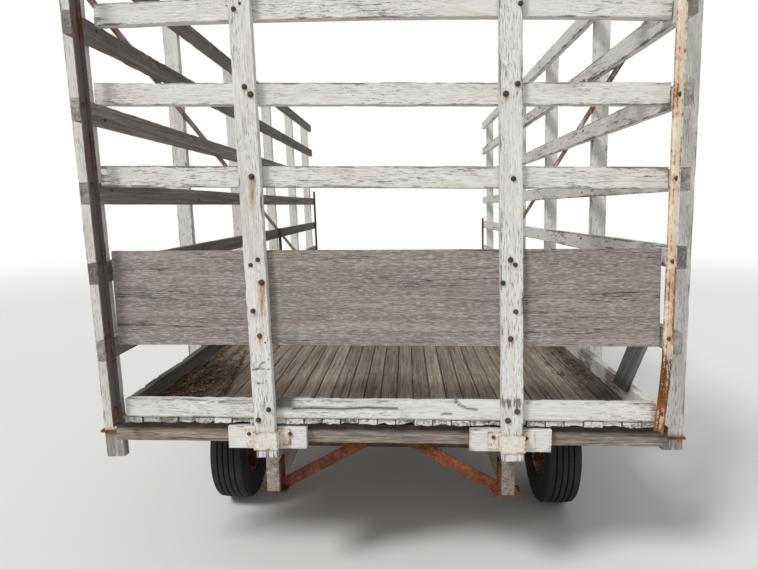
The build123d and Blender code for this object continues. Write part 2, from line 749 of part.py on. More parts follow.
hollow = reach_part(half_reach - REACH_WALL, reach_rear - PAST, tube_front + PAST)
save_gear("reach_tube", reach_part(half_reach, reach_rear, tube_front) - hollow)
bar_front = front_axle_y + AXLE_DEPTH / 2
save_gear("reach_bar", reach_part(half_bar, tube_front - REACH_BAR_LAP, bar_front))


# Hounds: flat bars that spread from the reach to each axle
def build_hounds(axle_y, direction, inner):
    start = axle_y + direction * AXLE_DEPTH / 2
    end = start + direction * HOUND_LENGTH
    half = HOUND_WIDTH / 2
    points = [
        (HOUND_SPREAD - half, start),
        (HOUND_SPREAD + half, start),
        (inner + HOUND_WIDTH, end),
        (inner, end),
    ]
    low = wheel_z - HOUND_THICKNESS / 2
    plane = Plane(origin=(0, 0, low))
    bar = prism(points, plane, HOUND_THICKNESS)
    y0 = end - direction * 2 * HOUND_WIDTH
    hanger = block(inner, inner + REACH_WALL, y0, end, low, reach_z + inner)
    right = bar + hanger
    under = block(-inner - REACH_WALL, inner + REACH_WALL, y0, end, low, low + HOUND_THICKNESS)
    return right + flip(right) + under


save_gear("rear_hounds", build_hounds(rear_axle_y, 1, half_reach))
save_gear("front_hounds", build_hounds(front_axle_y, -1, half_bar))


# Steering knuckle: kingpin barrel, wheel spindle and tie-rod arm
arm_low = wheel_z - ARM_THICKNESS / 2
arm_high = wheel_z + ARM_THICKNESS / 2
tie_low = arm_high + TIE_GAP
tie_high = tie_low + ARM_THICKNESS


def build_knuckle(side):
    y = front_axle_y
    low = wheel_z - BARREL_HEIGHT / 2
    high = wheel_z + BARREL_HEIGHT / 2
    collar = hub_face - SPINDLE_END_GAP
    body = post_z(BARREL_RADIUS, low, high, king_x, y)
    body += bar_x(SPINDLE_RADIUS, king_x, spindle_tip, y, wheel_z)
    back = king_x + BARREL_RADIUS + COLLAR_STEP
    body += bar_x(BARREL_RADIUS + COLLAR_STEP, back, collar, y, wheel_z)
    turn = degrees(atan2(ARM_OUTWARD, ARM_FORWARD))
    reach = hypot(ARM_OUTWARD, ARM_FORWARD)
    arm = block(-ARM_WIDTH / 2, ARM_WIDTH / 2, 0, reach, arm_low, arm_high)
    arm = Pos(king_x, y, 0) * Rot(0, 0, -turn) * arm
    pin_x = king_x + ARM_OUTWARD
    pin_y = y + ARM_FORWARD
    body += arm
    body += post_z(ARM_WIDTH / 2, arm_low, arm_high, pin_x, pin_y)
    body += post_z(TIE_PIN_RADIUS, arm_low, tie_high + TIE_GAP, pin_x, pin_y)
    body -= post_z(KINGPIN_RADIUS + PIN_CLEARANCE, low - PAST, high + PAST, king_x, y)
    return on_side(body, side)


save_gear("knuckle_l", build_knuckle(-1))
save_gear("knuckle_r", build_knuckle(1))


# Steering head: a swinging plate with the two tie-rod pins and the tongue's cheeks
def build_head():
    beam_low = wheel_z - AXLE_HEIGHT / 2
    low = beam_low + YOKE_GAP
    high = axle_top - YOKE_GAP
    cheek_in = TONGUE_WIDTH / 2 + TONGUE_SIDE_GAP
    cheek_out = cheek_in + CHEEK_THICKNESS
    pin_y = front_axle_y + TONGUE_PIN_PLACE
    plate_front = pin_y - CHEEK_RADIUS - TONGUE_HEIGHT / 2
    head = post_z(HEAD_BARREL_RADIUS, low, high, 0, head_y)
    head += block(-cheek_out, cheek_out, head_y, plate_front, arm_low, arm_high)
    z0 = wheel_z - CHEEK_RADIUS
    z1 = wheel_z + CHEEK_RADIUS
    cheek = block(cheek_in, cheek_out, plate_front - CHEEK_RADIUS, pin_y, arm_low, arm_high)
    cheek += block(cheek_in, cheek_out, plate_front, pin_y, z0, z1)
    cheek += bar_x(CHEEK_RADIUS, cheek_in, cheek_out, pin_y, wheel_z)
    head += cheek + flip(cheek)
    pin_end = cheek_out + TONGUE_PIN_STUB
    head += bar_x(TONGUE_PIN_RADIUS, -pin_end, pin_end, pin_y, wheel_z)
    for side in (-1, 1):
        x = side * ARM_OUTWARD
        head += post_z(TIE_PIN_RADIUS, arm_low, tie_high + TIE_GAP, x, head_y + ARM_FORWARD)
    head -= post_z(HEAD_PIN_RADIUS + PIN_CLEARANCE, low - PAST, high + PAST, 0, head_y)
    return head


save_gear("steering_head", build_head())


# Tie rods: a round bar with an eye at each end
def build_tie_rod(side):
    x0 = ARM_OUTWARD
    y0 = head_y + ARM_FORWARD
    x1 = king_x + ARM_OUTWARD
    y1 = front_axle_y + ARM_FORWARD
    z = (tie_low + tie_high) / 2
    length = hypot(x1 - x0, y1 - y0)
    turn = degrees(atan2(y1 - y0, x1 - x0))
    bar = bar_x(TIE_ROD_RADIUS, 0, length, 0, 0)
    rod = Pos(x0, y0, z) * Rot(0, 0, turn) * bar
    eye = TIE_EYE_RADIUS
    rod = rod & block(x0 - eye, x1 + eye, y1 - eye, y0 + eye, tie_low, tie_high)
    rod += post_z(TIE_EYE_RADIUS, tie_low, tie_high, x0, y0)
    rod += post_z(TIE_EYE_RADIUS, tie_low, tie_high, x1, y1)
    inner_hole = TIE_PIN_RADIUS + PIN_CLEARANCE
    outer_hole = TIE_PIN_RADIUS + OPEN_EYE_CLEARANCE
    rod -= post_z(inner_hole, tie_low - PAST, tie_high + PAST, x0, y0)
    rod -= post_z(outer_hole, tie_low - PAST, tie_high + PAST, x1, y1)
    return on_side(rod, side)


save_gear("tie_rod_l", build_tie_rod(-1))
save_gear("tie_rod_r", build_tie_rod(1))


# Tongue: a box tube with a round heel on its pin and a clevis hitch, its tip on the ground
def build_tongue():
    half_w = TONGUE_WIDTH / 2
    half_h = TONGUE_HEIGHT / 2
    tube_end = TONGUE_LENGTH - CLEVIS_LENGTH
    tongue = block(-half_w, half_w, 0, tube_end, -half_h, half_h)
    tongue += bar_x(half_h, -half_w, half_w, 0, 0)
    room = half_w - TONGUE_WALL
    height = half_h - TONGUE_WALL
    tongue -= block(-room, room, TONGUE_HEIGHT, tube_end + PAST, -height, height)
    plate_z = CLEVIS_OPENING / 2
    back = tube_end - CLEVIS_EMBED
    tongue += block(-half_w, half_w, back, tube_end, -half_h, half_h)
    for z in (plate_z, -plate_z - CLEVIS_THICKNESS):
        tongue += block(-half_w, half_w, tube_end, TONGUE_LENGTH, z, z + CLEVIS_THICKNESS)
        tongue += post_z(half_w, z, z + CLEVIS_THICKNESS, 0, TONGUE_LENGTH)
    tongue -= Pos(0, TONGUE_LENGTH, 0) * Cylinder(HITCH_HOLE_RADIUS, TONGUE_HEIGHT)
    tongue -= bar_x(TONGUE_PIN_RADIUS + PIN_CLEARANCE, -half_w - PAST, half_w + PAST, 0, 0)
    return Pos(0, rear + tongue_pin_y, wheel_z) * Rot(-tongue_drop, 0, 0) * tongue


save_gear("tongue", build_tongue())
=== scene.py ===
"""Hay wagon: weathered lumber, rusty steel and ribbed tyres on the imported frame."""
import logging
import math
import random
from collections.abc import Sequence
from dataclasses import dataclass
from enum import Enum
from functools import cache

import bmesh
import bpy
from mathutils import Matrix, Vector, geometry, kdtree, noise


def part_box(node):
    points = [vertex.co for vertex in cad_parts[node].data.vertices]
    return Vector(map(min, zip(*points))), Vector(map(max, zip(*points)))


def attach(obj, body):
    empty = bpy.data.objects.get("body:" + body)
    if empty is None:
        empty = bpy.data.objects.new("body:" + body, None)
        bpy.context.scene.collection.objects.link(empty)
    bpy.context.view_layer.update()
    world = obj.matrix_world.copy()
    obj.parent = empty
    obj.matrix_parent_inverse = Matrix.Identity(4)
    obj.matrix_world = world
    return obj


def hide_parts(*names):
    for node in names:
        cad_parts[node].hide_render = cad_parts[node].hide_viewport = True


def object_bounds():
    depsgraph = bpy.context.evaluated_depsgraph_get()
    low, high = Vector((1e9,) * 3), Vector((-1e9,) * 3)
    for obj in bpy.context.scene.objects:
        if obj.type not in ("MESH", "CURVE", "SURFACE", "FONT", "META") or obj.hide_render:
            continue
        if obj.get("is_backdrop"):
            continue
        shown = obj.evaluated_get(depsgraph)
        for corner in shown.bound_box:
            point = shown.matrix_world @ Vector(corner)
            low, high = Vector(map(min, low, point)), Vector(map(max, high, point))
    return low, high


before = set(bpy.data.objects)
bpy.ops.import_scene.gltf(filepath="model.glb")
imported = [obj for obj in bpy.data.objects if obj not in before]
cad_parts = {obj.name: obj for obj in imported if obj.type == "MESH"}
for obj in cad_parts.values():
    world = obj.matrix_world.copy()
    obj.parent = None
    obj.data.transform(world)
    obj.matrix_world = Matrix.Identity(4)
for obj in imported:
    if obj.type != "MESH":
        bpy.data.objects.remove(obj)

Pair = tuple[float, float]
Triple = tuple[float, float, float]
Colour = Triple
CAD_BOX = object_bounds()
LOG = logging.getLogger("hay_wagon")
WAGON = "wagon"
FULL_TURN = 2 * math.pi
REARWARD = Vector((0.0, -1.0, 0.0))


class Axis(Enum):
    """The row axis along which a length of lumber runs."""

    ACROSS = 0
    LENGTHWISE = 1
    UPRIGHT = 2


class Head(Enum):
    """The kinds of fastener head, as (corners, height share, washer share)."""

    HEX = (6, 0.50, 1.30)
    DOME = (12, 0.36, 0.0)
    NAIL = (6, 0.18, 0.0)


class Side(Enum):
    """A side of the wagon seen from the rear end."""

    LEFT = -1
    RIGHT = 1


# Shaders


class Signal:
    """A socket of a node tree that takes part in arithmetic."""

    def __init__(self, graph: "Graph", socket: bpy.types.NodeSocket) -> None:
        """Wraps one output socket."""
        self.graph = graph
        self.socket = socket

    def __add__(self, other: "Signal | float") -> "Signal":
        """Sum."""
        return self.graph.maths("ADD", self, other)

    def __mul__(self, other: "Signal | float") -> "Signal":
        """Product."""
        return self.graph.maths("MULTIPLY", self, other)

    def __sub__(self, other: "Signal | float") -> "Signal":
        """Difference."""
        return self.graph.maths("SUBTRACT", self, other)

    def __rsub__(self, other: "Signal | float") -> "Signal":
        """Difference with the number first."""
        return self.graph.maths("SUBTRACT", other, self)

    def over(self, other: "Signal | float") -> "Signal":
        """The larger of two values."""
        return self.graph.maths("MAXIMUM", self, other)

    def step(self, low: float, high: float) -> "Signal":
        """Rises from 0 to 1 between two values.

        Args:
            low: Value that gives 0.
            high: Value that gives 1.

        Returns:
            The smoothed step.
        """
        node = self.graph.node(
            "ShaderNodeMapRange",
            {"interpolation_type": "SMOOTHSTEP"},
            {"Value": self, "From Min": low, "From Max": high},
        )
        return Signal(self.graph, node.outputs["Result"])


class Graph:
    """The node tree of a material or of the world, while it is built."""

    def __init__(self, owner: bpy.types.Material | bpy.types.World) -> None:
        """Empties the owner's node tree.

        Args:
            owner: The material or world whose tree it is.
        """
        owner.use_nodes = True
        self.owner = owner
        self.tree = owner.node_tree
        self.tree.nodes.clear()

    def join(self, node: bpy.types.Node, socket: bpy.types.NodeSocket) -> None:
        """Links a node's first output to a socket."""
        self.tree.links.new(node.outputs[0], socket)

    def put(self, socket: bpy.types.NodeSocket, value: "Signal | float | tuple") -> None:
        """Sets a socket, or links it if the value is a signal.

        Args:
            socket: The input socket.
            value: A signal, a number or a tuple.
        """
        if isinstance(value, Signal):
            self.tree.links.new(value.socket, socket)
        elif isinstance(value, tuple) and len(socket.default_value) == 4:
            socket.default_value = (*value, 1.0)
        else:
            socket.default_value = value

    def node(self, kind: str, settings: dict, values: dict) -> bpy.types.Node:
        """Adds one node.

        Args:
            kind: Blender's node type.
            settings: Attributes that are set first; "stops" lists a ramp's stops.
            values: Socket names or numbers with their values or signals.

        Returns:
            The new node.
        """
        node = self.tree.nodes.new(kind)
        for key, value in settings.items():
            if key == "stops":
                ramp = node.color_ramp.elements
                while len(ramp) < len(value):
                    ramp.new(0.5)
                for element, (place, colour) in zip(ramp, value):
                    element.position = place
                    element.color = (*colour, 1.0)
            else:
                setattr(node, key, value)
        for key, value in values.items():
            self.put(node.inputs[key], value)
        return node

    def maths(self, operation: str, first: "Signal | float", second: "Signal | float") -> Signal:
        """Adds a Math node and returns its value."""
        node = self.node("ShaderNodeMath", {"operation": operation}, {0: first, 1: second})
        return Signal(self, node.outputs[0])

    def vector(self, operation: str, first: "Signal | tuple", second: "Signal | tuple") -> Signal:
        """Adds a Vector Math node and returns its vector."""
        node = self.node("ShaderNodeVectorMath", {"operation": operation}, {0: first, 1: second})
        return Signal(self, node.outputs[0])

    def attribute(self, name: str, output: str = "Fac") -> Signal:
        """Reads a mesh attribute as a number, or as a vector."""
        node = self.node("ShaderNodeAttribute", {"attribute_name": name}, {})
        return Signal(self, node.outputs[output])

    def place(self) -> Signal:
        """The object's own coordinates in metres."""
        return Signal(self, self.node("ShaderNodeTexCoord", {}, {}).outputs["Object"])

    def noise(
        self, where: Signal, stretch: Triple, detail: float = 4.0, rough: float = 0.6, twist: float = 0.0
    ) -> Signal:
        """Stretched fractal noise.

        Args:
            where: The coordinates in metres.
            stretch: Features per metre along each coordinate.
            detail: Number of octaves.
            rough: How strong the fine octaves are.
            twist: Distortion of the pattern.

        Returns:
            A value about 0.5.
        """
        node = self.node(
            "ShaderNodeTexNoise",
            {"noise_dimensions": "3D"},
            {"Scale": 1.0, "Detail": detail, "Roughness": rough, "Distortion": twist},
        )
        self.put(node.inputs["Vector"], self.vector("MULTIPLY", where, stretch))
        return Signal(self, node.outputs["Fac"])

    def ramp(self, value: Signal, *stops: tuple[float, Colour]) -> Signal:
        """Colours that a value runs through."""
        node = self.node("ShaderNodeValToRGB", {"stops": stops}, {"Fac": value})
        return Signal(self, node.outputs["Color"])

    def mix(self, share: "Signal | float", low: "Signal | Colour", high: "Signal | Colour") -> Signal:
        """Mixes two colours.

        Args:
            share: Share of the second colour.
            low: Colour at 0.
            high: Colour at 1.

        Returns:
            The mixed colour.
        """
        node = self.node("ShaderNodeMix", {"data_type": "RGBA"}, {})
        self.put(node.inputs[0], share)
        self.put(node.inputs[6], low)
        self.put(node.inputs[7], high)
        return Signal(self, node.outputs[2])

    def shade(self, low: Signal, share: "Signal | float") -> Signal:
        """Multiplies a colour by a grey value."""
        grey = self.node("ShaderNodeCombineXYZ", {}, {0: share, 1: share, 2: share})
        return self.vector("MULTIPLY", low, Signal(self, grey.outputs[0]))

    def white_to_camera(
        self, lit: bpy.types.Node, white: bpy.types.Node, output: bpy.types.Node, share: Signal | None = None
    ) -> None:
        """Blends in a white shader that only the camera sees.

        Args:
            lit: The shader that lights the wagon.
            white: The white shader.
            output: The tree's output node.
            share: How much of the white one the camera sees, if not all of it.
        """
        seen = Signal(self, self.node("ShaderNodeLightPath", {}, {}).outputs["Is Camera Ray"])
        blend = self.node("ShaderNodeMixShader", {}, {0: seen * share if share else seen})
        self.join(lit, blend.inputs[1])
        self.join(white, blend.inputs[2])
        self.join(blend, output.inputs[0])


class Surface(Graph):
    """A material that is built around one Principled shader."""

    def __init__(self, name: str) -> None:
        """Starts a new material.

        Args:
            name: The material's name.
        """
        super().__init__(bpy.data.materials.new(name))
        self.shader = self.node("ShaderNodeBsdfPrincipled", {}, {})
        self.output = self.node("ShaderNodeOutputMaterial", {}, {})
        self.join(self.shader, self.output.inputs[0])

    def finish(
        self, base: Signal, rough: "Signal | float", height: Signal, depth: float, gloss: float = 0.5
    ) -> bpy.types.Material:
        """Joins the signals to the shader.

        Args:
            base: Base colour.
            rough: Roughness.
            height: Relief from 0 to 1.
            depth: Height of that relief in metres.
            gloss: Specular level.

        Returns:
            The finished material.
        """
        self.put(self.shader.inputs["Base Color"], base)
        self.put(self.shader.inputs["Roughness"], rough)
        self.shader.inputs["Specular IOR Level"].default_value = gloss
        self.join(
            self.node("ShaderNodeBump", {}, {"Strength": 1.0, "Distance": depth, "Height": height}),
            self.shader.inputs["Normal"],
        )
        return self.owner


WHITE = (1.0, 1.0, 1.0)
CRACK_COLOUR = (0.028, 0.022, 0.018)
# The soil share darkens towards these colours, both for real soil and dirt and for painted shade where a mark
# stands for a shadow.
SOIL_AND_SHADE_ON_WOOD = (0.030, 0.024, 0.019)
SOIL_AND_SHADE_ON_PAINT = (0.030, 0.025, 0.021)
RUN_ON_WOOD = (0.160, 0.060, 0.022)
RUN_ON_PAINT = (0.420, 0.200, 0.065)


def scaled(colour: Colour, factor: float) -> Colour:
    """A colour times a factor."""
    return tuple(c * factor for c in colour)


@dataclass(frozen=True)
class BareWood:
    """Weathered wood with fibres, drying cracks and stains."""

    name: str
    dark: Colour = (0.125, 0.108, 0.093)
    light: Colour = (0.400, 0.360, 0.320)
    warm: Colour = (0.270, 0.180, 0.115)
    warmth: float = 0.35
    damp: float = 0.35
    run: float = 3.5
    count: float = 170.0
    dash: float = 0.0
    rough: float = 0.86
    relief: float = 0.0016
    gloss: float = 0.22

    def surface(self, graph: Graph) -> tuple[Signal, Signal]:
        """The wood's colour and relief.

        Args:
            graph: The material that is being built.

        Returns:
            Base colour and height.
        """
        grain = graph.attribute("grain", "Vector")
        tone = graph.attribute("tone")
        fibre = graph.noise(grain, (self.run, self.count, self.count), 6.0, 0.66, 0.4)
        band = graph.noise(grain, (1.1, 34.0, 34.0), 5.0, 0.55, 0.8)
        dash = graph.noise(grain, (self.run * 3.0, self.count * 1.15, self.count * 1.15), 2.0, 0.5, 0.2)
        patch = graph.noise(grain, (2.6, 9.0, 9.0), 4.0, 0.6)
        split = graph.noise(grain, (2.4, 75.0, 75.0), 3.0, 0.5, 0.3) - 0.5
        crack = split.step(-0.012, -0.002) - split.step(0.002, 0.012)
        crack = crack * graph.noise(grain, (1.3, 20.0, 20.0), 2.0).step(0.50, 0.60)
        base = graph.ramp(
            fibre * 0.55 + band * 0.45,
            (0.36, self.dark),
            (0.49, tuple((a + b) / 2.2 for a, b in zip(self.dark, self.light))),
            (0.62, self.light),
        )
        base = graph.mix(dash.step(0.54, 0.62) * self.dash, base, scaled(self.light, 1.4))
        base = graph.mix((1.0 - dash).step(0.56, 0.64) * self.dash, base, scaled(self.dark, 0.8))
        base = graph.mix(patch.step(0.50, 0.72) * self.warmth, base, self.warm)
        base = graph.mix((1.0 - patch).step(0.52, 0.72) * self.damp, base, self.dark)
        base = graph.shade(base, tone * 0.45 + 0.78)
        base = graph.mix(crack * 0.8, base, CRACK_COLOUR)
        base = graph.mix(graph.attribute("rust") * 0.8, base, RUN_ON_WOOD)
        # Soil share: real dirt, and painted shade where a mark stands for a shadow.
        base = graph.mix(graph.attribute("soil") * 0.88, base, SOIL_AND_SHADE_ON_WOOD)
        return base, fibre * 0.5 + band * 0.3 - crack

    def material(self) -> bpy.types.Material:
        """Makes the material.

        Returns:
            The finished material.
        """
        graph = Surface(self.name)
        base, height = self.surface(graph)
        return graph.finish(base, self.rough, height, self.relief, self.gloss)


@dataclass(frozen=True)
class PaintedWood:
    """Old white paint that cracks and flakes off grey wood."""

    name: str
    peel: float = 0.40
    fleck: float = 0.75
    paint: Colour = (0.770, 0.755, 0.715)
    stain: Colour = (0.560, 0.500, 0.420)
    wood: BareWood = BareWood("wood_under_paint", warmth=0.15)

    def material(self) -> bpy.types.Material:
        """Makes the material.

        Returns:
            The finished material.
        """
        graph = Surface(self.name)
        under, relief = self.wood.surface(graph)
        grain = graph.attribute("grain", "Vector")
        wear = graph.attribute("wear")
        fibre = graph.noise(grain, (11.0, 210.0, 210.0), 5.0, 0.7)
        flake = graph.noise(grain, (9.0, 62.0, 62.0), 9.0, 0.74, 0.3) + (fibre - 0.5) * 0.5
        hair = graph.noise(grain, (28.0, 290.0, 290.0), 3.0, 0.6).step(0.55, 0.66)
        thin = graph.noise(grain, (1.6, 5.0, 5.0), 4.0, 0.6)
        start = 0.80 - self.peel * 0.46
        bare = (flake + wear * 0.16 + (thin - 0.5) * 0.45).step(start, start + 0.06)
        bare = bare.over(hair * thin.step(0.34, 0.56) * self.fleck)
        bare = bare.over((graph.attribute("bare") * ((flake - 0.5) * 2.6 + 0.62)).step(0.34, 0.46))
        soil = graph.noise(grain, (3.0, 14.0, 14.0), 5.0, 0.65)
        paint = graph.mix(soil.step(0.48, 0.74) * 0.55, self.paint, self.stain)
        paint = graph.shade(paint, fibre.step(0.36, 0.60) * 0.20 + 0.82)
        streak = graph.attribute("rust") * graph.noise(grain, (14.0, 260.0, 260.0), 3.0).step(0.25, 0.60)
        paint = graph.mix(streak, paint, RUN_ON_PAINT)
        # Soil share: real dirt, and painted shade where a mark stands for a shadow.
        paint = graph.mix(graph.attribute("soil") * 0.95, paint, SOIL_AND_SHADE_ON_PAINT)
        base = graph.mix(bare, paint, under)
        rough = bare * 0.28 + 0.58
        height = (1.0 - bare) * 0.7 + relief * 0.5 + fibre * 0.15
        return graph.finish(base, rough, height, 0.0013, gloss=0.3)


@dataclass(frozen=True)
class Rust:
    """Steel that has rusted through its paint."""

    name: str
    paint: Colour = (0.700, 0.680, 0.630)
    kept: float = 0.5
    deep: Colour = (0.075, 0.030, 0.016)
    fresh: Colour = (0.330, 0.105, 0.030)
    edge: float = 0.22
    dust: float = 0.0
    dust_colour: Colour = (0.260, 0.215, 0.160)

    def material(self) -> bpy.types.Material:
        """Makes the material.

        Returns:
            The finished material.
        """
        graph = Surface(self.name)
        where = graph.place()
        wear = graph.attribute("wear")
        coarse = graph.noise(where, (9.0, 9.0, 7.0), 7.0, 0.68)
        fine = graph.noise(where, (95.0, 95.0, 70.0), 6.0, 0.7)
        grit = graph.noise(where, (620.0, 620.0, 620.0), 2.0, 0.6)
        rust = graph.ramp(
            coarse * 0.45 + fine * 0.55,
            (0.40, self.deep),
            (0.52, tuple((a * 1.8 + b) / 2.8 for a, b in zip(self.deep, self.fresh))),
            (0.64, self.fresh),
        )
        edge = coarse * 0.6 + fine * 0.4 + wear * self.edge
        start = 0.30 + self.kept * 0.36
        bare = edge.step(start, start + 0.045)
        coat = graph.mix(fine.step(0.50, 0.75) * 0.5, self.paint, scaled(self.paint, 0.62))
        bleed = (edge.step(start - 0.12, start + 0.03) - bare) * 0.55
        coat = graph.mix(bleed, coat, scaled(self.fresh, 1.15))
        base = graph.mix(bare, coat, rust)
        base = graph.mix(coarse.step(0.42, 0.72) * self.dust, base, self.dust_colour)
        rough = bare * 0.26 + 0.62
        height = fine * 0.5 * bare + (1.0 - bare) * 0.5 + grit * 0.14
        return graph.finish(base, rough, height, 0.0009, gloss=0.35)


@dataclass(frozen=True)
class TyreRubber:
    """Dusty, sun-checked rubber."""

    name: str
    black: Colour = (0.012, 0.012, 0.012)
    dust: Colour = (0.085, 0.073, 0.060)

    def material(self) -> bpy.types.Material:
        """Makes the material.

        Returns:
            The finished material.
        """
        graph = Surface(self.name)
        where = graph.place()
        cloud = graph.noise(where, (6.0, 6.0, 6.0), 6.0, 0.65)
        grit = graph.noise(where, (260.0, 260.0, 260.0), 4.0, 0.7)
        check = graph.noise(where, (40.0, 220.0, 220.0), 3.0, 0.6)
        share = (cloud * 0.6 + grit * 0.4).step(0.40, 0.68) * 0.34 + graph.attribute("wear") * 0.16
        base = graph.mix(share, self.black, self.dust)
        base = graph.shade(base, check * 0.5 + 0.75)
        return graph.finish(base, 0.84, grit * 0.5 + check * 0.5, 0.0006, gloss=0.3)


@dataclass(frozen=True)
class DryMatter:
    """Dead leaves, stalks and crumbs of hay."""

    name: str
    dark: Colour = (0.070, 0.042, 0.024)
    light: Colour = (0.280, 0.180, 0.100)

    def material(self) -> bpy.types.Material:
        """Makes the material.

        Returns:
            The finished material.
        """
        graph = Surface(self.name)
        tone = graph.attribute("tone")
        vein = graph.noise(graph.place(), (180.0, 180.0, 180.0), 4.0)
        base = graph.mix(tone * 0.75 + (vein - 0.5) * 0.5, self.dark, self.light)
        return graph.finish(base, 0.8, vein, 0.0006, gloss=0.25)


@dataclass(frozen=True)
class StudioFloor:
    """A pale floor that fades to white far from the wagon."""

    name: str = "studio_floor"
    tint: Colour = (0.800, 0.795, 0.780)
    dust: Colour = (0.720, 0.710, 0.690)
    near: float = 7.0
    far: float = 19.0

    def material(self) -> bpy.types.Material:
        """Makes the material.

        Returns:
            The finished material.
        """
        graph = Surface(self.name)
        where = graph.place()
        away = graph.node("ShaderNodeVectorMath", {"operation": "LENGTH"}, {0: where})
        fade = Signal(graph, away.outputs["Value"]).step(self.near, self.far)
        speck = graph.noise(where, (30.0, 30.0, 30.0), 3.0)
        base = graph.mix(speck * 0.08, self.tint, self.dust)
        graph.finish(base, 0.9, speck, 0.0003)
        white = graph.node("ShaderNodeEmission", {}, {"Color": WHITE, "Strength": 1.0})
        graph.white_to_camera(graph.shader, white, graph.output, fade)
        return graph.owner


# Painted shade: a darker wood under the left boards' paint, since their inner faces stand in shade.
SHADED_DULL_WOOD = BareWood(
    "shaded_wood_under_thin_paint", dark=(0.080, 0.071, 0.063), light=(0.300, 0.272, 0.245), warmth=0.2
)


class Finish(Enum):
    """Every finish of the wagon."""

    POST = PaintedWood("white_posts", peel=0.34, fleck=0.8)
    SLAT = PaintedWood("white_slats", peel=0.36, fleck=0.7)
    # Painted shade: the left boards are a grey, fully peeled copy of the white side boards, darkened for the
    # shade on their inner faces.
    BOARD_LEFT = PaintedWood("shaded_worn_side_boards", 1.0, paint=(0.330, 0.315, 0.300), wood=SHADED_DULL_WOOD)
    BOARD_RIGHT = PaintedWood("white_side_boards", peel=0.50, fleck=0.6)
    CURB = PaintedWood("white_curb", peel=0.32, fleck=0.8)
    BOARD_ENDS = PaintedWood("painted_board_ends", peel=0.30, fleck=0.4)
    ROTTEN = BareWood(
        "rotten_curb", dark=(0.045, 0.040, 0.036), light=(0.230, 0.212, 0.195), warmth=0.15, damp=0.6
    )
    DECK = BareWood(
        "deck_planks",
        dark=(0.115, 0.086, 0.066),
        light=(0.470, 0.390, 0.315),
        warm=(0.330, 0.215, 0.140),
        warmth=0.4,
        damp=0.4,
        dash=0.25,
    )
    SILL = BareWood(
        "sill_timber", dark=(0.110, 0.092, 0.076), light=(0.380, 0.328, 0.272), run=5.0, dash=0.35
    )
    ENDS = BareWood(
        "cut_ends", dark=(0.110, 0.100, 0.088), light=(0.400, 0.378, 0.340), warmth=0.15
    )
    PLY = BareWood(
        "plywood",
        dark=(0.225, 0.194, 0.176),
        light=(0.430, 0.384, 0.354),
        warm=(0.330, 0.260, 0.210),
        damp=0.12,
        run=14.0,
        count=240.0,
        dash=0.60,
    )
    PLANK = BareWood(
        "leaning_plank", dark=(0.110, 0.112, 0.118), light=(0.330, 0.335, 0.345), warmth=0.1
    )
    # Painted shade: the left uprights, the short one too, are a near-black copy of the white right ones with
    # darker rust, standing for the shade on their inner faces.
    UPRIGHT_LEFT = Rust(
        "shaded_upright_left", (0.120, 0.120, 0.124), 0.74, (0.018, 0.013, 0.010), (0.150, 0.062, 0.028), 0.11
    )
    UPRIGHT_RIGHT = Rust(
        "upright_right", (0.790, 0.740, 0.620), 0.76, fresh=(0.480, 0.185, 0.052), edge=0.12
    )
    POCKET = Rust(
        "rear_pocket_steel", (0.750, 0.730, 0.670), 0.80, fresh=(0.430, 0.235, 0.085), edge=0.11
    )
    LOOP = Rust("loop_steel", (0.500, 0.440, 0.360), 0.35)
    # Painted shade: the left strap is a grey copy of the white right one, darkened for the shade on the left
    # side.
    STRAP_LEFT = Rust("shaded_strap_left", (0.290, 0.292, 0.300), 0.66, edge=0.06)
    STRAP_RIGHT = Rust("strap_right", (0.620, 0.590, 0.530), 0.54, edge=0.08)
    SHORT_RIGHT = Rust(
        "short_right", kept=0.12, deep=(0.110, 0.042, 0.018), fresh=(0.480, 0.190, 0.055)
    )
    BRACE_STEEL = Rust(
        "brace_steel", kept=0.08, deep=(0.034, 0.014, 0.009), fresh=(0.290, 0.088, 0.028)
    )
    GEAR_STEEL = Rust(
        "gear_steel", (0.200, 0.050, 0.028), 0.42, fresh=(0.210, 0.078, 0.030), dust=0.5
    )
    RIM = Rust("rim_steel", (0.560, 0.520, 0.440), 0.62, dust=0.3)
    BOLT = Rust(
        "bolt_steel", (0.055, 0.050, 0.047), 0.72, (0.030, 0.016, 0.011), (0.190, 0.075, 0.030)
    )
    RUBBER = TyreRubber("tyre_rubber")
    LITTER = DryMatter("dry_leaves")

    @cache
    def made(self) -> bpy.types.Material:
        """The finish's material, which is made at its first use."""
        return self.value.material()


# Lumber


@dataclass
class Stick:
    """A length of lumber between two four-cornered ends.

    Each end lists its corners as low-low, high-low, high-high, low-high of across and through.
    """

    ends: list[list[Vector]]
    across_axis: int
    bow: float = 0.0

    def at(self, along: float, across: float, through: float) -> Vector:
        """A point inside the stick.

        Args:
            along: Share of the length.
            across: Share of the width.
            through: Share of the thickness.

        Returns:
            The point in the row frame.
        """
        spots = []
        for end in self.ends:
            low = end[0].lerp(end[1], across)
            high = end[3].lerp(end[2], across)
            spots.append(low.lerp(high, through))
        spot = spots[0].lerp(spots[1], along)
        spot[self.across_axis] += 4.0 * self.bow * along * (1.0 - along)
        return spot

    def size(self) -> Triple:
        """Length, width and thickness in metres."""
        first, last = self.ends
        return ((last[0] - first[0]).length, (first[1] - first[0]).length, (first[3] - first[0]).length)

    def share(self, axis: int, value: float) -> float:
        """Finds where the stick crosses a value of an axis.

        Args:
            axis: Number of the axis.
            value: The value on that axis in metres.

        Returns:
            The share of the length.
        """
        start = self.at(0.0, 0.5, 0.5)[axis]
        stop = self.at(1.0, 0.5, 0.5)[axis]
        return (value - start) / (stop - start)


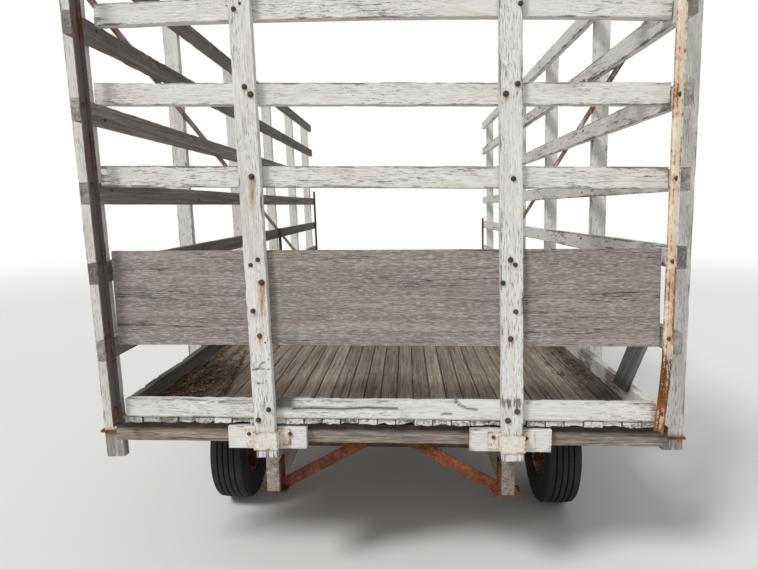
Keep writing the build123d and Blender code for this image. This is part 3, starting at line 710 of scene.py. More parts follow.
def read_islands(node: bpy.types.Object) -> list[list[Vector]]:
    """Splits a CAD node's mesh into its separate solids.

    Args:
        node: The node's object.

    Returns:
        One list of distinct corner points for each solid.
    """
    keys = [tuple(round(c * 1e4) for c in v.co) for v in node.data.vertices]
    parent = {key: key for key in keys}

    def root(key: tuple) -> tuple:
        """Finds the representative of a corner's solid.

        Args:
            key: A corner.

        Returns:
            The corner that stands for the whole solid.
        """
        while parent[key] != key:
            parent[key] = parent[parent[key]]
            key = parent[key]
        return key

    for polygon in node.data.polygons:
        corners = [keys[i] for i in polygon.vertices]
        for corner in corners[1:]:
            parent[root(corner)] = root(corners[0])
    groups: dict[tuple, dict[tuple, Vector]] = {}
    for key, vertex in zip(keys, node.data.vertices):
        groups.setdefault(root(key), {})[key] = vertex.co.copy()
    return [list(points.values()) for points in groups.values()]


END_REACH = 0.012
CORNERS = ((-1, -1), (1, -1), (1, 1), (-1, 1))


def read_sticks(name: str, axis: Axis) -> list[Stick]:
    """Reads the lengths of lumber of a CAD node.

    Args:
        name: The node's name.
        axis: The axis that they run along.

    Returns:
        The sticks, in order of place.
    """
    a = axis.value
    sticks = []
    for points in read_islands(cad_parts[name]):
        low = min(p[a] for p in points)
        high = max(p[a] for p in points)
        others = [i for i in range(3) if i != a]
        if len(points) == 8:
            ranked = sorted(points, key=lambda p: p[a])
            near, far = ranked[:4], ranked[4:]
        else:
            near = [p for p in points if p[a] - low < END_REACH]
            far = [p for p in points if high - p[a] < END_REACH]
        spans = [max(p[i] for p in near) - min(p[i] for p in near) for i in others]
        b, c = others if spans[0] >= spans[1] else others[::-1]
        ends = []
        for group in (near, far):
            mb = sum(p[b] for p in group) / len(group)
            mc = sum(p[c] for p in group) / len(group)
            ends.append([max(group, key=lambda p: sb * (p[b] - mb) + sc * (p[c] - mc)) for sb, sc in CORNERS])
        stick = Stick(ends, b)
        middle = [p for p in points if abs(p[a] - (low + high) / 2) < (high - low) * 0.2]
        if middle and len(points) > 8:
            stick.bow = max(p[b] - stick.at(stick.share(a, p[a]), 1.0, 0.5)[b] for p in middle)
        sticks.append(stick)
    return sorted(sticks, key=lambda s: tuple(s.at(0.5, 0.5, 0.5)))


def bell(away: float, width: float) -> float:
    """Falls smoothly from 1 to 0 with the distance."""
    return math.exp(-((away / width) ** 2))


@dataclass(frozen=True)
class Stain:
    """A rust run below a fastener, with a short rise above it."""

    spot: Vector
    length: float
    width: float
    strength: float
    rise: float = 0.006

    def at(self, point: Vector) -> float:
        """How strong the stain is at a point.

        Args:
            point: A point of the surface.

        Returns:
            A share from 0 to 1.
        """
        drop = self.spot.z - point.z
        if not -0.02 <= drop <= self.length * 2.5:
            return 0.0
        aside = math.hypot(point.x - self.spot.x, point.y - self.spot.y)
        return self.strength * bell(drop, self.length if drop > 0.0 else self.rise) * bell(aside, self.width)


@dataclass(frozen=True)
class Patch:
    """A soft-edged block of space in which a surface is damp, bare, rotten, rusty or darkened by painted
    shade.
    """

    low: Triple
    high: Triple
    soft: float = 0.02
    strength: float = 1.0

    def at(self, point: Vector) -> float:
        """How strong the patch is at a point.

        Args:
            point: A point of the surface.

        Returns:
            A share from 0 to its strength.
        """
        share = self.strength
        for value, low, high in zip(point, self.low, self.high):
            share *= max(0.0, 1.0 - max(low - value, value - high, 0.0) / self.soft)
        return share


@dataclass(frozen=True)
class Crack:
    """A crack or crease through points of a rear face, each given across and up."""

    line: tuple[Pair, ...]
    width: float

    def at(self, point: Vector) -> float:
        """How strong the crack is at a point.

        Args:
            point: A point of the surface.

        Returns:
            A share from 0 to 1.
        """
        flat = Vector((point.x, point.z))
        near = self.width * 3
        for start, stop in zip(self.line, self.line[1:]):
            foot, share = geometry.intersect_point_line(flat, start, stop)
            if 0.0 <= share <= 1.0:
                near = min(near, (foot - flat).length)
        return bell(near, self.width)


Mark = Stain | Patch | Crack


@dataclass(frozen=True)
class Milling:
    """How finely a stick's mesh is divided and how far age has moved it, in metres."""

    step: float = 0.075
    cell: float = 0.0
    chamfer: float = 0.0022
    wobble: float = 0.0007
    chips: float = 0.003
    end_rough: float = 0.0016
    rot: float = 0.0
    scallop: float = 0.0
    top_wear: float = 0.0


def ring_faces(first: int, rings: int, size: int, closed: bool = False) -> list[tuple[int, ...]]:
    """The four-cornered faces between rings of points that follow each other.

    Args:
        first: Number of the first point.
        rings: How many rings there are.
        size: How many points a ring has.
        closed: Whether the last ring joins the first.

    Returns:
        The corners of each face.
    """
    faces = []
    for r in range(rings if closed else rings - 1):
        a, b = first + r * size, first + (r + 1) % rings * size
        for i in range(size):
            k = (i + 1) % size
            faces.append((a + i, a + k, b + k, b + i))
    return faces


EDGE_MARGIN = 0.011
CHIP_SCALE, SPLINTER_SCALE, WAVE_SCALE = 9.0, 31.0, 5.0
CHIP_START = 0.18
WAVE_BIAS = 0.6
SCALLOPED_SHARE = 0.2
TOP_SHARE = 0.9
END_WEAR_REACH = 0.035


class Lumber:
    """Collects sticks into one mesh with its grain, tone, wear and marks."""

    def __init__(
        self, name: str, milling: Milling, seed: int, marks: dict[str, list[Mark]] | None = None
    ) -> None:
        """Starts an empty piece.

        Args:
            name: The piece's name.
            milling: How its sticks are divided and worn.
            seed: Seed of its own random numbers.
            marks: What lies on its surface under "rust", "soil" and "bare"; "soil" also carries painted
                shade.
        """
        self.name = name
        self.milling = milling
        self.chance = random.Random(seed)
        self.points: list[Vector] = []
        self.faces: list[tuple[int, ...]] = []
        self.slots: list[int] = []
        self.grain: list[float] = []
        self.tone: list[float] = []
        self.wear: list[float] = []
        self.marks = {"rust": [], "soil": [], "bare": []} | (marks or {})
        self.shares: dict[str, list[float]] = {key: [] for key in self.marks}

    def ring(self, mill: Milling, width: float, depth: float) -> list[Triple]:
        """The points round a stick's section.

        Args:
            mill: How it is divided.
            width: The section's width.
            depth: The section's thickness.

        Returns:
            Share across, share through and how much each point is an edge.
        """
        ring: list[Triple] = []
        for size, make in (
            (width, lambda s: (s / width, 0.0)),
            (depth, lambda s: (1.0, s / depth)),
            (width, lambda s: (1.0 - s / width, 1.0)),
            (depth, lambda s: (0.0, 1.0 - s / depth)),
        ):
            margin = min(EDGE_MARGIN, size * 0.3)
            flat = size - 2 * margin
            count = max(1, round(flat / mill.cell)) if mill.cell else 1
            spots = [mill.chamfer, *(margin + flat * i / count for i in range(count))]
            spots += [size - margin, size - mill.chamfer]
            ring += [(*make(spot), float(i in (0, len(spots) - 1))) for i, spot in enumerate(spots)]
        return ring

    def add(self, stick: Stick, slot: int = 0, ends_slot: int = 0, milling: Milling | None = None) -> None:
        """Adds one stick.

        Args:
            stick: The stick.
            slot: Material slot of its long faces.
            ends_slot: Material slot of its two end faces.
            milling: How it is divided and worn, where it differs from the rest.
        """
        mill = milling or self.milling
        length, width, depth = stick.size()
        ring = self.ring(mill, width, depth)
        count = max(2, round(length / mill.step))
        first = len(self.points)
        shift = [self.chance.uniform(0.0, 30.0) for _ in range(3)]
        tone = self.chance.random()
        offset = Vector(shift)
        for i in range(count + 1):
            u = i / count
            heart = stick.at(u, 0.5, 0.5)
            for v, w, edge in ring:
                spot = stick.at(u, v, w)
                chip = noise.noise(spot * CHIP_SCALE + offset)
                chip += 0.5 * noise.noise(spot * SPLINTER_SCALE + offset)
                move = mill.wobble * (noise.noise(spot * WAVE_SCALE + offset) - WAVE_BIAS)
                move -= mill.chips * max(0.0, chip - CHIP_START) * edge
                spot = spot + (spot - heart).normalized() * move
                if i in (0, count):
                    inward = (stick.at(1.0, v, w) - stick.at(0.0, v, w)).normalized() * (1 if i == 0 else -1)
                    spot = spot + inward * (mill.end_rough * (0.4 + abs(chip)) + mill.rot * max(0.0, chip))
                    if i == 0 and w < SCALLOPED_SHARE:
                        spot.z += mill.scallop * (0.35 + abs(chip)) * (1.0 - w / SCALLOPED_SHARE)
                self.points.append(spot)
                self.grain += [u * length + shift[0], v * width + shift[1], w * depth + shift[2]]
                self.tone.append(tone)
                close = math.exp(-min(u, 1.0 - u) * length / END_WEAR_REACH)
                upper = mill.top_wear if stick.across_axis == 2 and v > TOP_SHARE else 0.0
                self.wear.append(min(1.0, edge * (0.55 + 0.6 * abs(chip)) + close * 0.8) + upper)
                for key, marks in self.marks.items():
                    self.shares[key].append(min(1.0, sum(mark.at(spot) for mark in marks)))
        size = len(ring)
        last = first + count * size
        self.faces += ring_faces(first, count + 1, size)
        self.faces.append(tuple(range(first + size - 1, first - 1, -1)))
        self.faces.append(tuple(range(last, last + size)))
        self.slots += [slot] * (count * size) + [ends_slot] * 2

    def build(self, finishes: tuple[Finish, ...], slot: str, node: str) -> bpy.types.Object:
        """Makes the piece on the wagon.

        Args:
            finishes: Its finishes, by material slot.
            slot: The record's material slot.
            node: The CAD node that it stands for.

        Returns:
            The new object.
        """
        mesh = bpy.data.meshes.new(self.name)
        mesh.from_pydata([tuple(p) for p in self.points], [], self.faces)
        for finish in finishes:
            mesh.materials.append(finish.made())
        mesh.polygons.foreach_set("material_index", self.slots)
        work = bmesh.new()
        work.from_mesh(mesh)
        bmesh.ops.recalc_face_normals(work, faces=work.faces)
        work.to_mesh(mesh)
        work.free()
        grain = mesh.attributes.new("grain", "FLOAT_VECTOR", "POINT")
        grain.data.foreach_set("vector", self.grain)
        write_shares(mesh, tone=self.tone, wear=self.wear, **self.shares)
        return place_piece(mesh, WAGON, slot, node)


def replace_lumber(
    node: str,
    axis: Axis,
    milling: Milling,
    seed: int,
    slot: str,
    finishes: tuple[Finish, ...],
    marks: dict[str, list[Mark]] | None = None,
) -> None:
    """Replaces the lumber of a CAD node by worn copies.

    Args:
        node: The node's name.
        axis: The axis that its sticks run along.
        milling: How they are divided and worn.
        seed: Seed of their random numbers.
        slot: The record's material slot.
        finishes: The finish of the faces and, where it differs, that of the ends.
        marks: What lies on their surface.
    """
    lumber = Lumber(node + "_old", milling, seed, marks)
    for stick in read_sticks(node, axis):
        lumber.add(stick, 0, len(finishes) - 1)
    lumber.build(finishes, slot, node)


def write_shares(mesh: bpy.types.Mesh, **shares: list[float]) -> None:
    """Writes a number for each point under each name that the finishes read."""
    for key, values in shares.items():
        mesh.attributes.new(key, "FLOAT", "POINT").data.foreach_set("value", values)


def place_piece(mesh: bpy.types.Mesh, body: str, slot: str, *nodes: str) -> bpy.types.Object:
    """Puts a finished mesh in the scene on its body.

    Args:
        mesh: The mesh, in the row frame.
        body: The body that it rides on.
        slot: The record's material slot; not used.
        nodes: CAD nodes that it stands for.

    Returns:
        The new object.
    """
    piece = bpy.data.objects.new(mesh.name, mesh)
    bpy.context.scene.collection.objects.link(piece)
    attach(piece, body)
    if nodes:
        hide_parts(*nodes)
    LOG.info("%s: %d faces on %s", mesh.name, len(mesh.polygons), body)
    return piece


# Fasteners and steel


HEAD_TILT = 0.05
SEAT = -0.0008
WASHER_CORNERS, SHANK_CORNERS = 14, 8


class Fasteners:
    """Collects bolt heads, nuts and nails into one mesh."""

    def __init__(self, name: str, seed: int) -> None:
        """Starts an empty piece.

        Args:
            name: The piece's name.
            seed: Seed of its own random numbers.
        """
        self.name = name
        self.chance = random.Random(seed)
        self.points: list[Triple] = []
        self.faces: list[tuple[int, ...]] = []

    def lathe(self, profile: Sequence[Pair], corners: int, place: Matrix) -> None:
        """Adds a shape turned about its own Z.

        Args:
            profile: Radius and height of each ring, from the seat up.
            corners: Points round each ring.
            place: Where the shape stands.
        """
        first = len(self.points)
        for radius, height in profile:
            for i in range(corners):
                turn = FULL_TURN * i / corners
                spot = Vector((radius * math.cos(turn), radius * math.sin(turn), height))
                self.points.append(tuple(place @ spot))
        last = first + (len(profile) - 1) * corners
        self.faces += ring_faces(first, len(profile), corners)
        self.faces.append(tuple(range(last, last + corners)))
        self.faces.append(tuple(range(first + corners - 1, first - 1, -1)))

    def add(self, kind: Head, spot: Vector, outward: Vector, radius: float) -> None:
        """Adds one head.

        Args:
            kind: The kind of head.
            spot: The point of the surface under its middle.
            outward: The surface's outward normal.
            radius: The head's radius.
        """
        corners, height, washer = kind.value
        tip = (outward + Vector([self.chance.uniform(-HEAD_TILT, HEAD_TILT) for _ in range(3)])).normalized()
        place = Matrix.Translation(spot) @ tip.to_track_quat("Z", "Y").to_matrix().to_4x4()
        place = place @ Matrix.Rotation(self.chance.uniform(0.0, 6.28), 4, "Z")
        tall = radius * 2 * height
        if washer:
            rim = radius * washer
            self.lathe([(rim, SEAT), (rim, 0.0016), (radius * 0.9, 0.0022)], WASHER_CORNERS, place)
        if kind is Head.DOME:
            rings = [(radius, SEAT), (radius, tall * 0.2), (radius * 0.78, tall * 0.7), (radius * 0.3, tall)]
        else:
            rings = [(radius, SEAT), (radius, tall * 0.8), (radius * 0.82, tall)]
        self.lathe(rings, corners, place)
        if kind is Head.HEX:
            shank = radius * 0.45
            self.lathe([(shank, 0.0), (shank, tall * 1.2), (radius * 0.36, tall * 1.3)], SHANK_CORNERS, place)

    def build(self, body: str = WAGON, slot: str = "rusty_steel") -> bpy.types.Object:
        """Makes the piece.

        Args:
            body: The body that it rides on.
            slot: The record's material slot.

        Returns:
            The new object.
        """
        mesh = bpy.data.meshes.new(self.name)
        mesh.from_pydata(self.points, [], self.faces)
        mesh.materials.append(Finish.BOLT.made())
        return place_piece(mesh, body, slot)


CREASE = math.radians(25.0)
CUTTING_ROUNDS, MOST_FACES = 8, 60000


@dataclass(frozen=True)
class SteelPart:
    """A CAD node cut finer, with wear along its edges."""

    node: str
    body: str = WAGON
    slot: str = "rusty_steel"
    cell: float = 0.05
    spread: float = 0.004
    rusty: tuple[Patch, ...] = ()

    def bend(self, work: bmesh.types.BMesh) -> None:
        """Leaves the part straight."""

    def build(self, finish: Finish, right: Finish | None = None) -> bpy.types.Object:
        """Makes the piece that stands for the node.

        Args:
            finish: Its finish.
            right: The finish of what stands right of the middle, where it differs.

        Returns:
            The new object.
        """
        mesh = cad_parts[self.node].data.copy()
        mesh.name = self.node + "_worn"
        mesh.materials.clear()
        work = bmesh.new()
        work.from_mesh(mesh)
        bmesh.ops.remove_doubles(work, verts=work.verts, dist=1e-5)
        tree_points = []
        for edge in work.edges:
            if len(edge.link_faces) == 2 and edge.calc_face_angle(0.0) > CREASE:
                start, stop = (v.co for v in edge.verts)
                pieces = max(1, math.ceil((stop - start).length / self.spread))
                tree_points += [start.lerp(stop, i / pieces) for i in range(pieces + 1)]
        tree = kdtree.KDTree(len(tree_points))
        for i, point in enumerate(tree_points):
            tree.insert(point, i)
        tree.balance()
        for _ in range(CUTTING_ROUNDS):
            long = [e for e in work.edges if e.calc_length() > self.cell]
            if not long or len(work.faces) > MOST_FACES:
                break
            bmesh.ops.subdivide_edges(work, edges=long, cuts=1)
            bmesh.ops.triangulate(work, faces=[f for f in work.faces if len(f.verts) > 3])
        wear = [
            math.exp(-tree.find(v.co)[2] / self.spread) + sum(patch.at(v.co) for patch in self.rusty)
            for v in work.verts
        ]
        self.bend(work)
        work.to_mesh(mesh)
        work.free()
        write_shares(mesh, wear=wear)
        mesh.materials.append(finish.made())
        if right:
            mesh.materials.append(right.made())
            for face in mesh.polygons:
                face.material_index = int(face.center.x > 0.0)
        return place_piece(mesh, self.body, self.slot, self.node)


@dataclass(frozen=True)
class CornerUprights(SteelPart):
    """The two angle irons of the rear corners, the right one bent inward at its foot."""

    foot: float = 0.024
    start: float = 1.22
    lean: float = 0.02323
    bolt_heights: tuple[float, ...] = (1.318, 1.005, 0.682, 0.369, 0.052)
    bolt_radius: float = 0.0075
    web: float = 0.005

    def offset(self, height: float) -> float:
        """How far the right upright is bent inward at a height above the floor."""
        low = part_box(self.node)[0].z
        return self.foot * max(0.0, (self.start - height) / (self.start - low)) ** 1.5

    def bend(self, work: bmesh.types.BMesh) -> None:
        """Bends the right upright inward at its foot.

        Args:
            work: The mesh of both uprights.
        """
        for vertex in work.verts:
            if vertex.co.x > 0.0:
                vertex.co.x -= self.offset(vertex.co.z)

    def bolts(self, deck_top: float) -> bpy.types.Object:
        """Bolts the webs to the side boards.

        Args:
            deck_top: Height of the deck.

        Returns:
            The new object.
        """
        heads = Fasteners("upright_bolts", 46)
        low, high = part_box(self.node)
        y = low.y + (high.y - low.y) * 0.45
        for height in self.bolt_heights:
            z = deck_top + height
            left = low.x + self.web + (high.z - z) * self.lean
            heads.add(Head.HEX, Vector((left, y, z)), Vector((1, 0, 0)), self.bolt_radius)
            right = high.x - self.web - (z - low.z) * self.lean - self.offset(z)
            heads.add(Head.HEX, Vector((right, y, z)), Vector((-1, 0, 0)), self.bolt_radius)
        return heads.build()


# Sub-assemblies


@dataclass
class Bed:
    """Deck, sills, rails and curbs."""

    board_face: float = 0.0794
    joint: float = 0.0035
    nail_radius: float = 0.0042
    nail_inset: float = 0.019
    nail_share: float = 0.93
    bare_runs: tuple[Pair, ...] = (
        (0.34, 0.09),
        (0.72, 0.16),
        (1.20, 0.10),
        (1.65, 0.30),
        (2.5, 0.5),
        (3.6, 0.4),
    )

    def board_count(self) -> int:
        """The number of boards across the deck, the cut one too."""
        low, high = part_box("deck_boards")
        return math.ceil((high.x - low.x) / self.board_face - 1e-6)

    def deck(self) -> bpy.types.Object:
        """Lays the deck boards at the places of the CAD deck, each as long as it is there.

        Returns:
            The new object.
        """
        low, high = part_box("deck_boards")
        milling = Milling(0.09, 0.02, chamfer=0.0030, chips=0.006, rot=0.009, scallop=0.016)
        soil = [
            Patch((-1.14, low.y + 0.10, low.z), (-0.92, low.y + 0.75, high.z + 0.01), 0.16, 0.9),
            Patch((1.02, low.y + 0.25, low.z), (1.14, low.y + 1.3, high.z + 0.01), 0.12, 0.5),
            # Painted shade: this patch darkens the lower edge of the boards' rear ends, where the gap under
            # them lies in shadow.
            Patch((low.x, low.y - 0.02, low.z - 0.01), (high.x, low.y + 0.004, low.z + 0.002), 0.008, 0.8),
        ]
        lumber = Lumber("deck_planks", milling, 11, {"soil": soil})
        rear_points = [v.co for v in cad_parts["deck_boards"].data.vertices if v.co.y < low.y + 0.05]
        gap = self.joint / 2
        for i in range(self.board_count()):
            x0 = low.x + i * self.board_face
            x1 = min(x0 + self.board_face, high.x)
            rear = min((p.y for p in rear_points if x0 + 0.001 < p.x < x1 - 0.001), default=low.y)
            sag = lumber.chance.uniform(-0.0012, 0.0006)
            left, right, top = x0 + gap, x1 - gap, high.z + sag
            corners = ((left, low.z), (right, low.z), (right, top), (left, top))
            ends = [[Vector((x, y, z)) for x, z in corners] for y in (rear, high.y)]
            lumber.add(Stick(ends, 0), ends_slot=1)
        return lumber.build((Finish.DECK, Finish.BOARD_ENDS), "deck_wood", "deck_boards")

    def nails(self) -> bpy.types.Object:
        """Drives two nails through each deck board into each cross sill.

        Returns:
            The new object.
        """
        heads = Fasteners("deck_nails", 12)
        low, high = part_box("deck_boards")
        for sill in read_sticks("cross_sills", Axis.ACROSS):
            y = sill.at(0.5, 0.5, 0.5).y
            for i in range(self.board_count()):
                for inset in (self.nail_inset, self.board_face - self.nail_inset):
                    x = low.x + i * self.board_face + inset
                    if x < high.x - 0.01 and heads.chance.random() < self.nail_share:
                        jitter = heads.chance.uniform(-0.007, 0.007)
                        spot = Vector((x + jitter / 2, y + jitter, high.z - 0.0008))
                        heads.add(Head.NAIL, spot, Vector((0, 0, 1)), self.nail_radius)
        return heads.build()

    def timbers(self) -> None:
        """Builds the sills and the side rails, with painted shadow on the timbers' rear tops under the
        overhanging deck boards.
        """
        fine = Milling(0.10, 0.014, chips=0.004, end_rough=0.002, rot=0.004)
        low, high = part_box("cross_sills")
        # Painted shadow: the damp patch darkens the tops of the timbers at the rear, where the overhanging
        # deck boards shade them.
        damp = Patch((low.x, low.y - 0.01, high.z - 0.028), (high.x, low.y + 0.03, high.z + 0.01), 0.012)
        for node, axis, seed in (
            ("cross_sills", Axis.ACROSS, 21),
            ("main_sills", Axis.LENGTHWISE, 22),
            ("side_rails", Axis.LENGTHWISE, 23),
        ):
            replace_lumber(node, axis, fine, seed, "bare_wood", (Finish.SILL,), {"soil": [damp]})

    def curbs(self) -> None:
        """Builds the rear curb with its cracks and the side curbs, of which the left one has rotted."""
        low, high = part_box("rear_curb")
        cracks = [
            Crack(
                ((-0.400, 0.926), (-0.300, 0.931), (-0.190, 0.926), (-0.080, 0.934), (0.060, 0.931)), 0.006
            ),
            Crack(((0.300, 0.966), (0.322, 0.948), (0.352, 0.934), (0.392, 0.930)), 0.005),
            Crack(((0.240, 0.905), (0.262, 0.912), (0.290, 0.908)), 0.004),
            Crack(((-0.720, 0.951), (-0.640, 0.948), (-0.560, 0.950)), 0.003),
        ]
        # The first patch is a rotten spot on the top; the second darkens the rear face along the curb's
        # bottom edge.
        rot = [
            Patch((-0.462, low.y - 0.01, high.z - 0.028), (-0.400, high.y, high.z + 0.01), 0.026, 0.9),
            Patch((low.x, low.y - 0.01, low.z - 0.01), (high.x, low.y + 0.01, low.z + 0.001), 0.006, 0.8),
        ]
        milling = Milling(0.012, 0.006, chips=0.008, wobble=0.0012, top_wear=0.25)
        marks = {"soil": cracks + rot}
        replace_lumber("rear_curb", Axis.ACROSS, milling, 24, "white_wood", (Finish.CURB,), marks)
        low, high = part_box("side_curbs")
        gaps = [
            Patch((high.x - 0.06, low.y + start, low.z), (high.x, low.y + start + length, high.z), 0.14, 0.85)
            for start, length in self.bare_runs
        ]
        milling = Milling(0.03, 0.014, chips=0.012, wobble=0.002, rot=0.01)
        rotten = Milling(0.016, 0.010, chips=0.034, wobble=0.006, rot=0.03)
        side = Lumber("side_curbs_old", milling, 25, {"bare": gaps})
        left, right = read_sticks("side_curbs", Axis.LENGTHWISE)
        side.add(left, 1, 1, rotten)
        side.add(right)
        side.build((Finish.CURB, Finish.ROTTEN), "bare_wood", "side_curbs")

    def plank(self) -> None:
        """Leans the plank of the right corner on the rear panel."""
        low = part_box("corner_plank")[0]
        damp = Patch((low.x - 0.1, low.y - 0.1, low.z), (low.x + 0.1, low.y + 0.5, low.z + 0.03), 0.06, 0.7)
        milling = Milling(0.02, 0.016, chips=0.004)
        marks = {"soil": [damp]}
        replace_lumber("corner_plank", Axis.UPRIGHT, milling, 26, "bare_wood", (Finish.PLANK,), marks)

    def build(self) -> None:
        """Builds the whole bed."""
        self.deck()
        self.nails()
        self.timbers()
        self.curbs()
        self.plank()


@dataclass
class SideRack:
    """Posts and boards of one side, with their bolts."""

    side: Side
    bolt_radius: float = 0.0085
    bolt_sink: float = 0.0058
    spread: float = 0.017
    stain_width: float = 0.008
    stain_share: float = 0.6
    loop_bottom: float = 0.765

    def crossings(self, posts: list[Stick], boards: list[Stick]) -> list[tuple[Vector, Vector]]:
        """Where each board is bolted to each post.

        Args:
            posts: The side's posts.
            boards: The side's boards.

        Returns:
            For each bolt, its point on the post's outer face and on the board's inner face.
        """
        out = 1.0 if self.side is Side.RIGHT else 0.0
        spots = []
        for i, post in enumerate(posts):
            y = post.at(0.5, 0.5, 0.5).y
            for k, board in enumerate(boards):
                u = board.share(1, y)
                if 0.0 < u < 1.0:
                    lift = self.spread * (1 if (i + k) % 2 else -1)
                    v = post.share(2, board.at(u, 0.5, 0.5).z + lift)
                    inner = board.at(u, 0.5 + lift / board.size()[1], 1.0 - out)
                    spots.append((self.face(post, v, out), inner))
        return spots

    def face(self, post: Stick, along: float, outward: float) -> Vector:
        """Finds a point on a post's outer face, whichever way its section lies.

        Args:
            post: The post.
            along: Share of its length.
            outward: Its outer face as a share, 0 or 1.

        Returns:
            The point on that face.
        """
        if post.across_axis == 0:
            return post.at(along, outward, 0.5)
        return post.at(along, 0.5, outward)

    def build(self) -> None:
        """Builds the side rack."""
        # The left boards take the grey painted-shade finish, the right ones the white one.
        tag, board = ("l", Finish.BOARD_LEFT) if self.side is Side.LEFT else ("r", Finish.BOARD_RIGHT)
        posts = read_sticks("side_posts_" + tag, Axis.UPRIGHT)
        boards = read_sticks("side_boards_" + tag, Axis.LENGTHWISE)
        bolts = Fasteners("side_bolts_" + tag, 31)
        outward = Vector((self.side.value, 0.0, 0.0))
        stains = []
        for outer, inner in self.crossings(posts, boards):
            bolts.add(Head.DOME, outer - outward * self.bolt_sink, outward, self.bolt_radius)
            bolts.add(Head.HEX, inner, -outward, self.bolt_radius * 0.6)
            run = bolts.chance.uniform(0.02, 0.09)
            if bolts.chance.random() < self.stain_share:
                stains.append(Stain(outer, run, self.stain_width, bolts.chance.uniform(0.4, 1.0)))
                stains.append(Stain(inner, run * 0.6, self.stain_width, 0.7))
        low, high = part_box("side_posts_" + tag)
        feet = Patch(tuple(low), (high.x, high.y, self.loop_bottom), 0.012)
        band = Patch((low.x, low.y, self.loop_bottom), (high.x, high.y, self.loop_bottom + 0.01), 0.010, 0.8)
        milling = Milling(0.03, 0.018, chips=0.004, rot=0.006)
        marks = {"rust": stains + [band], "bare": [feet]}
        finishes = (Finish.POST, Finish.ENDS)
        replace_lumber("side_posts_" + tag, Axis.UPRIGHT, milling, 32, "white_wood", finishes, marks)
        milling = Milling(0.04, 0.02, chips=0.007, rot=0.010, top_wear=0.4)
        finishes = (board, Finish.ENDS)
        replace_lumber("side_boards_" + tag, Axis.LENGTHWISE, milling, 33, "white_wood", finishes)
        bolts.build()


@dataclass(frozen=True)
class PostBolt:
    """A bolt of a rear post: place across the post and above the deck, and its rust run."""

    across: float
    height: float
    radius: float = 0.008
    run: float = 0.0


LEFT_BOLTS = (
    PostBolt(0.004, 1.702, 0.006),
    PostBolt(-0.021, 1.682),
    PostBolt(0.003, 1.384, 0.0085, 0.02),
    PostBolt(0.026, 1.353, 0.010),
    PostBolt(0.010, 1.030, 0.0095, 0.10),
    PostBolt(0.014, 0.692, 0.0078),
    PostBolt(-0.017, 0.671, 0.0072),
    PostBolt(0.024, 0.597, 0.010, 0.13),
    PostBolt(-0.019, 0.479, 0.0085, 0.03),
    PostBolt(0.002, 0.373, 0.0085, 0.03),
    PostBolt(0.024, 0.344, 0.004),
    PostBolt(0.021, 0.054, 0.0085),
    PostBolt(-0.025, 0.010, 0.009, 0.02),
)
RIGHT_BOLTS = (
    PostBolt(0.037, 1.672),
    PostBolt(0.025, 1.374, 0.0085, 0.02),
    PostBolt(-0.021, 1.338, 0.0095, 0.03),
    PostBolt(0.007, 1.010, 0.0085),
    PostBolt(-0.006, 0.688, 0.0088, 0.02),
    PostBolt(0.013, 0.668, 0.0075),
    PostBolt(-0.037, 0.595, 0.0085),
    PostBolt(0.014, 0.476, 0.0082),
    PostBolt(-0.007, 0.364, 0.009, 0.03),
    PostBolt(0.018, 0.057, 0.0095),
    PostBolt(-0.020, 0.018, 0.010),
)


